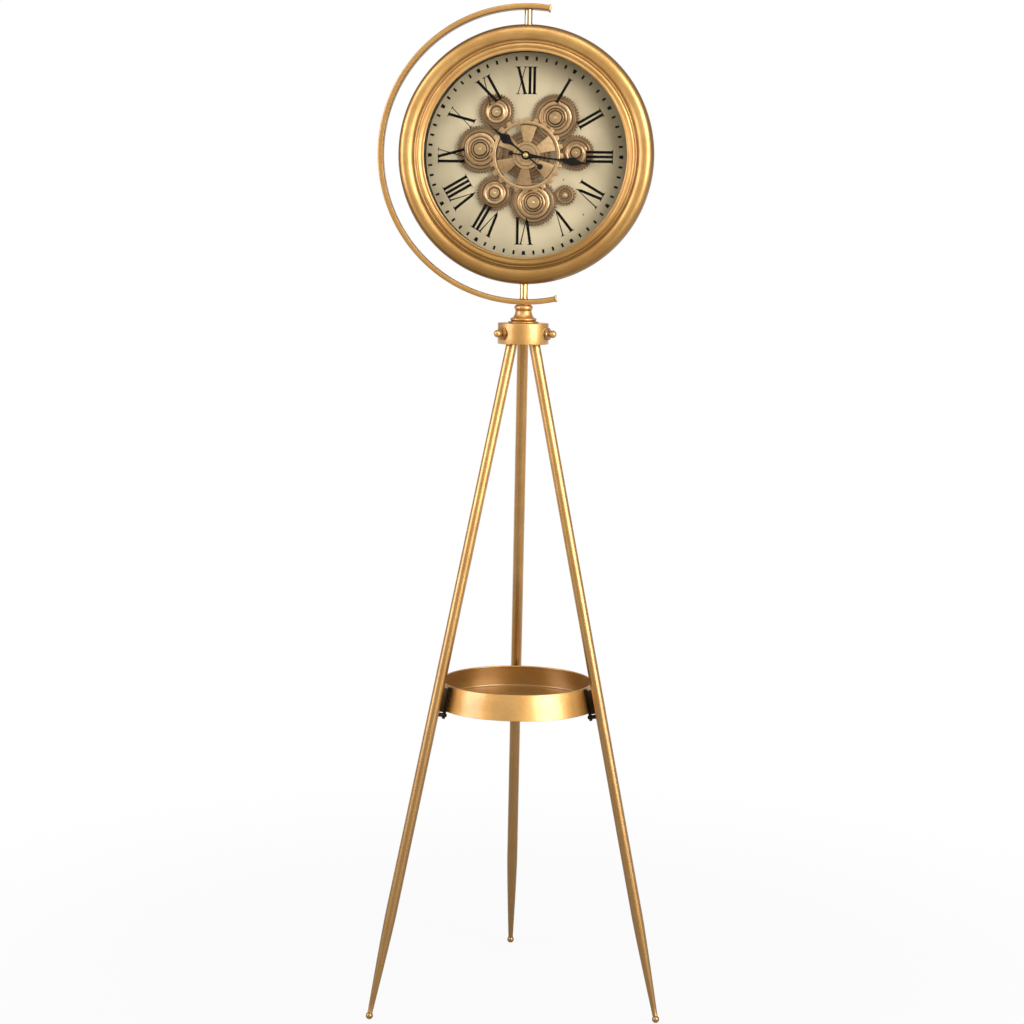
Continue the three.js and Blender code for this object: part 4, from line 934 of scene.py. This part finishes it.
def stroke(start, end, width, end_width=None, layer=0):
    """A bar of print from one point to another; bars that cross lie in different layers."""
    x0, y0 = start
    x1, y1 = end
    length = hypot(x1 - x0, y1 - y0)
    thick = PRINT_THICK - layer * 0.02
    bar = box("stroke", (width, length, thick))
    if end_width:
        taper(bar, lambda p: p.y > 0, end_width / width)
    middle = Vector(((x0 + x1) / 2, (y0 + y1) / 2, PRINT_BACK + thick / 2)) * MM
    turn = Matrix.Rotation(atan2(y1 - y0, x1 - x0) - pi / 2, 4, "Z")
    return settle(bar, Matrix.Translation(middle) @ turn)


def serif(x, y, width, stem, towards):
    """A thin foot with a small bracket where the stem meets it."""
    foot = stroke((x - width / 2, y), (x + width / 2, y), SERIF, layer=2)
    bracket = stroke((x, y + towards * SERIF * 0.4), (x, y + towards * 2.2), stem + 1.6, stem, layer=3)
    return [foot, bracket]


def letter(kind):
    """One letter, with its left stem at 0, and where its right stem stands."""
    low, high = FOOT_R, CAP_R
    foot, cap = low + SERIF / 2, high - SERIF / 2
    wide = THICK_STROKE + 2 * SERIF_REACH
    thin = 1.4 + 2 * SERIF_REACH
    right = {"I": 0, "V": V_WIDTH, "X": X_WIDTH}[kind]
    if kind == "I":
        bars = [stroke((0, low), (0, high), THICK_STROKE), *serif(0, foot, wide, THICK_STROKE, 1),
                *serif(0, cap, wide, THICK_STROKE, -1)]
    elif kind == "V":
        apex = V_WIDTH * 0.42
        lean = -apex / (high - low)
        bars = [stroke((apex + lean * 7, low + 7), (0, high), THICK_STROKE),
                stroke((apex + 0.5, low), (apex + lean * 7.2, low + 7.2), 0.6, THICK_STROKE, 1),
                stroke((apex + 0.9, low + 5), (right, high), THIN_STROKE, THIN_STROKE + 1, 1),
                *serif(0, cap, wide, THICK_STROKE, -1), *serif(right, cap, thin, THIN_STROKE + 1, -1)]
    else:
        bars = [stroke((right, low), (0, high), THICK_STROKE),
                stroke((0, low), (right, high), THIN_STROKE + 0.2, layer=1),
                *serif(0, cap, wide, THICK_STROKE, -1), *serif(right, foot, wide, THICK_STROKE, 1),
                *serif(right, cap, thin, THIN_STROKE, -1), *serif(0, foot, thin, THIN_STROKE, 1)]
    return join(kind, bars), right


def numeral(text, letters):
    """A whole numeral, centred across."""
    x = end = 0
    pieces = []
    for kind in text:
        first, width = letters[kind]
        pieces.append(settle(copy_of(first, "letter"), at(x, 0)))
        end = x + width
        x = end + (V_GAP if kind == "V" else I_PITCH)
    return settle(join("numeral", pieces), at(-end / 2, 0))


def build_print():
    """Twelve numerals, and a mark for each minute; the hours' marks are wider and taper inwards."""
    letters = {kind: letter(kind) for kind in "IVX"}
    pieces = []
    for hour, text in enumerate(("XII", "I", "II", "III", "IV", "V", "VI", "VII", "VIII", "IX", "X", "XI")):
        pieces.append(settle(numeral(text, letters), slanted(-30 * hour)))
    hour_mark, minute_mark = [
        box("mark", (width, MARK_LENGTH, PRINT_THICK), (0, MARK_R, PRINT_BACK + PRINT_THICK / 2))
        for width in (HOUR_MARK_WIDE, MINUTE_MARK_WIDE)]
    taper(hour_mark, lambda p: p.y < MARK_R, HOUR_MARK_NARROW)
    for minute in range(60):
        mark = minute_mark if minute % 5 else hour_mark
        pieces.append(settle(copy_of(mark, "mark"), slanted(-6 * minute)))
    for first in (hour_mark, minute_mark, *[first for first, _ in letters.values()]):
        discard(first)
    place = FACE @ at(0, -PRINT_DROP)
    finished(join("printed_numerals", pieces), place, "head", printed_black)


# Gears

# Each gear's teeth, its driver, its direction from the driver in degrees, and its body
GEARS = {
    "centre_gear": (50, None, 0, "centre_train"),
    "gear_upper_right": (48, "centre_gear", 52.9, "upper_right_wheel"),
    "gear_left": (48, "centre_gear", 173, "left_wheel"),
    "gear_bottom": (48, "centre_gear", 279.5, "bottom_wheel"),
    "gear_right": (36, "gear_upper_right", 301.9, "right_wheel"),
    "gear_upper_left": (36, "gear_left", 66.7, "upper_left_wheel"),
    "gear_lower_left": (36, "gear_bottom", 167.4, "lower_left_wheel"),
    "pinion_lower_right": (20, "gear_bottom", 13.6, "pinion_wheel"),
}
DIAL = FACE @ at(0, 0, DIAL_FRONT)


def place_gears():
    """Each gear's centre and turn, so that its teeth stand in its driver's gaps."""
    places = {}
    for name, (teeth, driver, direction, _) in GEARS.items():
        if driver is None:
            places[name] = (0, 0, 0)
            continue
        x, y, phase = places[driver]
        driver_teeth, *_ = GEARS[driver]
        angle = radians(direction)
        distance = MODULE * (driver_teeth + teeth) / 2 + MESH_GAP
        share = (angle - phase) * driver_teeth / (2 * pi)
        turn = angle + pi - (0.5 - share) * 2 * pi / teeth
        places[name] = (x + distance * cos(angle), y + distance * sin(angle), turn)
    return places


def toothed(name, teeth, tip, root, low, high, points=4):
    """A disc with teeth: a circle with a few vertices per tooth, drawn in between the teeth."""
    deselect()
    bpy.ops.mesh.primitive_circle_add(vertices=points * teeth, radius=tip * MM, fill_type="NGON")
    piece = open_piece(name)
    first = bmesh.from_edit_mesh(piece.data).verts
    first.ensure_lookup_table()
    shift = pi / (points * teeth) - atan2(first[0].co.y, first[0].co.x)
    move(z=low)
    set_mode("OBJECT")
    settle(piece, Matrix.Rotation(shift, 4, "Z"))
    set_mode("EDIT")
    pick(piece, lambda p: 0.25 < (atan2(p.y, p.x) * teeth / (2 * pi)) % 1 < 0.75)
    scale(root / tip, root / tip)
    select_all()
    extrude(high - low)
    close_piece()
    return piece


# The stepped dome on a gear with this many teeth: (radius, height above the rim)
CENTRE_TOP = WHEEL_LOW - FIT - RIM_HIGH
DOMES = {
    50: [(32.4, -1), (32.4, -0.4), (31.6, -0.4), (31.2, 0.6), (29, 1.1), (27.6, 1.1), (27.2, 0.5),
         (26.6, 0.5), (26.2, 1.5), (22, 1.9), (21.6, 1.4), (21, 1.9), (14, 1.9), (14, CENTRE_TOP),
         (5, CENTRE_TOP)],
    48: [(31.4, -1), (31.4, -0.5), (30.4, -0.5), (30, 0.7), (29.2, 1.3), (26.4, 1.5), (25.4, 1.2),
         (25, 0.6), (24.4, 0.6), (24.1, 2.6), (23.4, 3.1), (21.4, 3.6), (19.8, 3.6), (19, 3),
         (18.2, 2.2), (17.4, 2.2), (17.1, 3.1), (16.4, 3.5), (14.9, 3.5), (14.3, 3.1), (14, 2),
         (13.2, 2), (12.9, 5), (12.3, 5.5), (11.4, 5.5), (10.9, 5.1), (10.6, 2.8), (9.4, 2.8),
         (9.2, 6.5), (8.6, 7), (6, 7.1), (0.4, 7.1)],
    36: [(22.4, -1), (22.4, -0.4), (21.6, -0.4), (21.2, 0.9), (20.4, 1.4), (19.4, 1.4), (18.6, 0.6),
         (17.4, 0.6), (16.6, 2.4), (15.4, 3.1), (14.2, 3), (12.8, 2.3), (11.2, 2.8), (10.2, 3.6),
         (9.2, 3.7), (8.7, 3.2), (8.4, 1.9), (7.5, 1.9), (7.2, 4.8), (6.7, 5.3), (4, 5.4), (0.4, 5.4)],
    20: [(12.8, -1), (12.8, 0.2), (12.2, 1.1), (11.2, 1.4), (10, 1.2), (9.5, 0.6), (9.3, -0.6),
         (8.6, -0.6), (8.3, 0.2), (5.4, 0.3), (5.1, 0.1), (4.9, 2.1), (4.3, 2.8), (2.4, 3), (0.4, 3)],
}


def build_gears():
    """Each gear is a toothed rim with its dome, and all but the centre gear show an arbor's tip."""
    places = place_gears()
    arbor_tip = turned("arbor_tip", [(1.9, -0.3), (1.9, 0.1), (1.4, 0.5), (0.8, 0.65), (0.2, 0.7)], 24)
    firsts = {}
    for name, (teeth, _, _, body) in GEARS.items():
        if teeth not in firsts:
            pitch = MODULE * teeth / 2
            rim = toothed("rim", teeth, pitch + TOOTH / 2 + 0.1, pitch - TOOTH / 2, RIM_LOW, RIM_HIGH)
            bevel(rim, 0.12, 1, 50)
            firsts[teeth] = join("gear", [rim, turned("dome", DOMES[teeth], lift=RIM_HIGH)])
        gear = copy_of(firsts[teeth], f"toothed_{name}")
        x, y, phase = places[name]
        place = FACE @ at(x, y, DIAL_FRONT) @ Matrix.Rotation(phase, 4, "Z")
        # The centre gear gets the darker copy of the bronze: painted shade under the open wheel.
        metal = shaded_bronze if name == "centre_gear" else bronze
        finished(gear, place, body, metal, [name], 24)
        if name != "centre_gear":
            tip = copy_of(arbor_tip, f"arbor_tip_{name}")
            place = place @ at(0, 0, RIM_HIGH + DOMES[teeth][-1][1])
            finished(tip, place, body, bright_brass)
    for first in (arbor_tip, *firsts.values()):
        discard(first)


def build_wheel():
    """The open wheel: square teeth, a narrow rim, six flared spokes and a stepped hub."""
    teeth, tip, root, rim, hub = 24, 56, 51, 46.2, 20.6
    half_spoke, step, start = 10.4, 60, 85
    dot_ring = 29.4
    high = WHEEL_LOW + WHEEL_THICK
    spoke_top, floor = high - 0.9, WHEEL_LOW + 0.5
    wheel = toothed("wheel", teeth, tip, root, WHEEL_LOW, spoke_top + 0.3, 8)
    edge = asin(half_spoke / rim)
    deselect()
    bpy.ops.mesh.primitive_circle_add(vertices=64, radius=rim * MM, fill_type="NGON")
    window = open_piece("window")
    bpy.ops.mesh.delete(type="ONLY_FACE")
    pick(window, lambda p: not edge <= atan2(p.y, p.x) % (2 * pi) <= radians(step) - edge)
    bpy.ops.mesh.delete(type="VERT")
    select_all()
    bpy.ops.mesh.extrude_region()
    scale(hub / rim, hub / rim)
    select_all()
    extrude(WHEEL_THICK + 4)
    select_all()
    move(z=WHEEL_LOW - 2)
    close_piece()
    for i in range(6):
        cut(wheel, settle(copy_of(window, "cutter"), slanted(start + i * step)))
    discard(window)
    cut(wheel, turned("groove", [(rim, floor), (rim, spoke_top + 4), (rim - 1.6, spoke_top + 4),
                                 (rim - 1.6, floor), (rim, floor)], 96, False))
    bevel(wheel, 0.4, 2, 40)
    crest = [(rim, -WHEEL_THICK), (root - 0.2, -WHEEL_THICK), (root - 0.2, -0.9), (root - 0.8, -0.3),
             (root - 1.8, 0), (rim + 1.2, 0), (rim + 0.3, -0.4), (rim, -1), (rim, -WHEEL_THICK)]
    disc = [(hub, -1.5), (hub, 0.5), (hub - 0.4, 0.9), (16.2, 0.9), (16, 0.5), (15.6, 0.5), (15.4, 1.6),
            (15, 2), (10.4, 2), (10.2, 1.7), (9.8, 1.7), (9.6, 2.1), (4.7, 2.1), (4.6, 0.5)]
    parts = [wheel, turned("crest", crest, 144, False, high), turned("disc", disc, lift=high)]
    dot = turned("dot", [(1.3, -1.2), (1.3, -0.7), (1, -0.7), (0.9, -1), (0.3, -1)], 20, lift=high)
    for angle in (start, start + 2 * step):
        place = at(dot_ring * cos(radians(angle)), dot_ring * sin(radians(angle)))
        parts.append(settle(copy_of(dot, "dot"), place))
    discard(dot)
    piece = join("open_wheel", parts)
    finished(piece, DIAL, "centre_train", bronze, ["spoked_wheel"], 30)


# Hands

HAND_HUB_R = 6.5


def make_hand(name, low, reach, tail, stem, weight, stations):
    """A strip drawn out from the hub through its stations, with a round weight on its tail."""
    deselect()
    bpy.ops.mesh.primitive_plane_add(size=1)
    blade = open_piece(name)
    scale(stem * MM, tail * MM)
    move(y=-tail / 2, z=low)
    pick(blade, lambda p: p.y > -0.5)
    y, width = 0, stem
    for station_width, station_y in (*stations, (0.4, reach)):
        extrude(0, station_y - y)
        scale(station_width / width)
        y, width = station_y, station_width
    select_all()
    extrude(1)
    close_piece()
    hub, tip = [turned(kind, [(radius, -0.05), (radius, 0.9), (radius - 0.3, 1.1)], sides, lift=low)
                for kind, radius, sides in (("hub", HAND_HUB_R, 48), ("weight", weight, 40))]
    hand = join(name, [blade, hub, settle(tip, at(0, -tail))])
    bevel(hand, 0.15, 1, 50)
    return hand


def build_hands():
    """The two hands at the time that the photograph shows, and the small cap over them."""
    hour = make_hand("hour_pointer_blade", 16.2, 76, 27, 2.2, 4.2,
                     [(5, 5), (3.6, 9), (2.6, 16), (2.6, 22), (3.4, 26), (5.6, 30), (9.6, 33.6),
                      (13.8, 36.6), (15, 38.6), (14.6, 40.6), (9.4, 45.4), (5.2, 49), (3, 53), (2, 58)])
    place = DIAL @ slanted(-TIME_HOURS * 30)
    finished(hour, place, "hour_pointer", black_paint, ["hour_hand"])
    minute = make_hand("minute_pointer_blade", 19.2, 95.5, 22.6, 2, 3.4,
                       [(7, 6), (6, 10), (4.2, 18), (3, 26), (2.6, 38), (2.8, 46), (4, 52), (6.4, 58),
                        (9.6, 64), (11.8, 69), (12, 71), (10.4, 75), (6.6, 80), (4, 84), (2.6, 88),
                        (1.6, 92)])
    place = DIAL @ slanted(-(TIME_HOURS % 1) * 360)
    finished(minute, place, "minute_pointer", black_paint, ["minute_hand"])
    rings = [(4, 0), (4, 1.3), (3.7, 1.7), (3.4, 1.7), (3.1, 2.2), (2.7, 3.3), (2, 3.7), (1.1, 3.9),
             (0.2, 3.9)]
    nut = turned("brass_cap", rings, 40, lift=20.5)
    finished(nut, DIAL, "minute_pointer", bright_brass, ["hand_nut"])


def dress_inner_nodes():
    """Pieces whose solids already have the right shape get a better finish."""
    finishes = {"movement": black_plastic, "battery": steel, "gear_motor": steel, "gear_plate": steel,
                "centre_bolt": steel}
    for name, material in finishes.items():
        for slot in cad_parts[name].material_slots:
            slot.material = material


def build_knob():
    """The setting knob: a drum with a ribbed edge, on a stem."""
    back, side = -32.4, -16
    knob = toothed("knob", 20, 7, 6.4, back - 5.4, back)
    bevel(knob, 0.3, 1, 50)
    cap = turned("cap", [(5.6, -5), (5.6, -5.9), (5.2, -6), (0.4, -6)], 40, lift=back)
    stem = turned("stem", [(2, 0), (2, 4.3)], 24, lift=back)
    piece = join("ribbed_knob", [knob, cap, stem])
    finished(piece, FACE @ at(side, 0), "setting_knob", black_plastic, ["set_knob"])


# Studio

SKY_FILL = 0.56
ROOM_GLOW = 0.34
FRONT_GLOW = 0.7


def kinds_of_ray(nodes):
    """1 for the rays that see the background as it is, and 1 for the rays that a gloss sends out."""
    path = nodes.node("ShaderNodeLightPath")
    seen = Value(path.outputs["Is Camera Ray"]).most(Value(path.outputs["Is Transmission Ray"]))
    return seen, Value(path.outputs["Is Glossy Ray"])


def build_studio():
    world = bpy.data.worlds.new("studio")
    world.use_nodes = True
    bpy.context.scene.world = world
    world.node_tree.nodes.clear()
    room = Nodes(world.node_tree)
    seen, glossy = kinds_of_ray(room)
    _, y, _ = room.parts(room.node("ShaderNodeTexCoord").outputs["Generated"])
    glow = room.fade(y, -0.8, -0.1, FRONT_GLOW, ROOM_GLOW) + room.fade(y, 0.75, 0.97, 0, 1 - ROOM_GLOW)
    around = glossy * glow + (1 - glossy) * SKY_FILL
    sky = room.node("ShaderNodeBackground", Color=(1, 1, 1, 1), Strength=seen + (1 - seen) * around)
    room.node("ShaderNodeOutputWorld", Surface=sky.outputs[0])

    deselect()
    bpy.ops.mesh.primitive_plane_add(size=30)
    floor = bpy.context.object
    floor.name = "studio_floor"
    finish = Finish(floor.name)
    x, y, _ = finish.parts(finish.place)
    distance = (x * x + y * y) ** 0.5
    far = finish.fade(distance, 0.25, 1.5, 0.92, 1)
    seen, glossy = kinds_of_ray(finish)
    lit = finish.node("ShaderNodeBsdfDiffuse", Color=(0.42, 0.415, 0.405, 1))
    bright = finish.node("ShaderNodeEmission", Color=(1, 1, 1, 1), Strength=1)
    finish.show(far * seen.most(glossy * finish.fade(y, 0.3, 1.2)), lit, bright)
    floor.data.materials.append(finish.material)

    def softbox(name, azimuth, distance, height, size, power, target=(0, 0, 1.2)):
        """A soft lamp that stands at an azimuth to the right of the front, in degrees."""
        light = bpy.data.lights.new(name, "AREA")
        light.shape = "RECTANGLE"
        light.size, light.size_y = size
        light.energy = power
        lamp = bpy.data.objects.new(name, light)
        bpy.context.scene.collection.objects.link(lamp)
        turn = radians(azimuth)
        lamp.location = (distance * sin(turn), -distance * cos(turn), height)
        lamp.rotation_euler = (Vector(target) - lamp.location).to_track_quat("-Z", "Y").to_euler()

    softbox("right_window", 52, 3.2, 1.9, (2.3, 2.5), 134)
    softbox("left_window", -61, 2.9, 1.9, (1.6, 2.4), 58)
    softbox("overhead", 10, 1.3, 3.2, (1.8, 1.2), 16, (0, 0, 0.9))
    bpy.context.scene.view_settings.view_transform = "Standard"


for build in (build_legs, build_tray, build_collar, build_post, build_arc, build_pivots,
              build_bezel, build_case, build_cover_screws, build_wall, build_dial, build_glass,
              build_print, build_gears, build_wheel, build_hands, build_knob, dress_inner_nodes,
              build_studio):
    build()
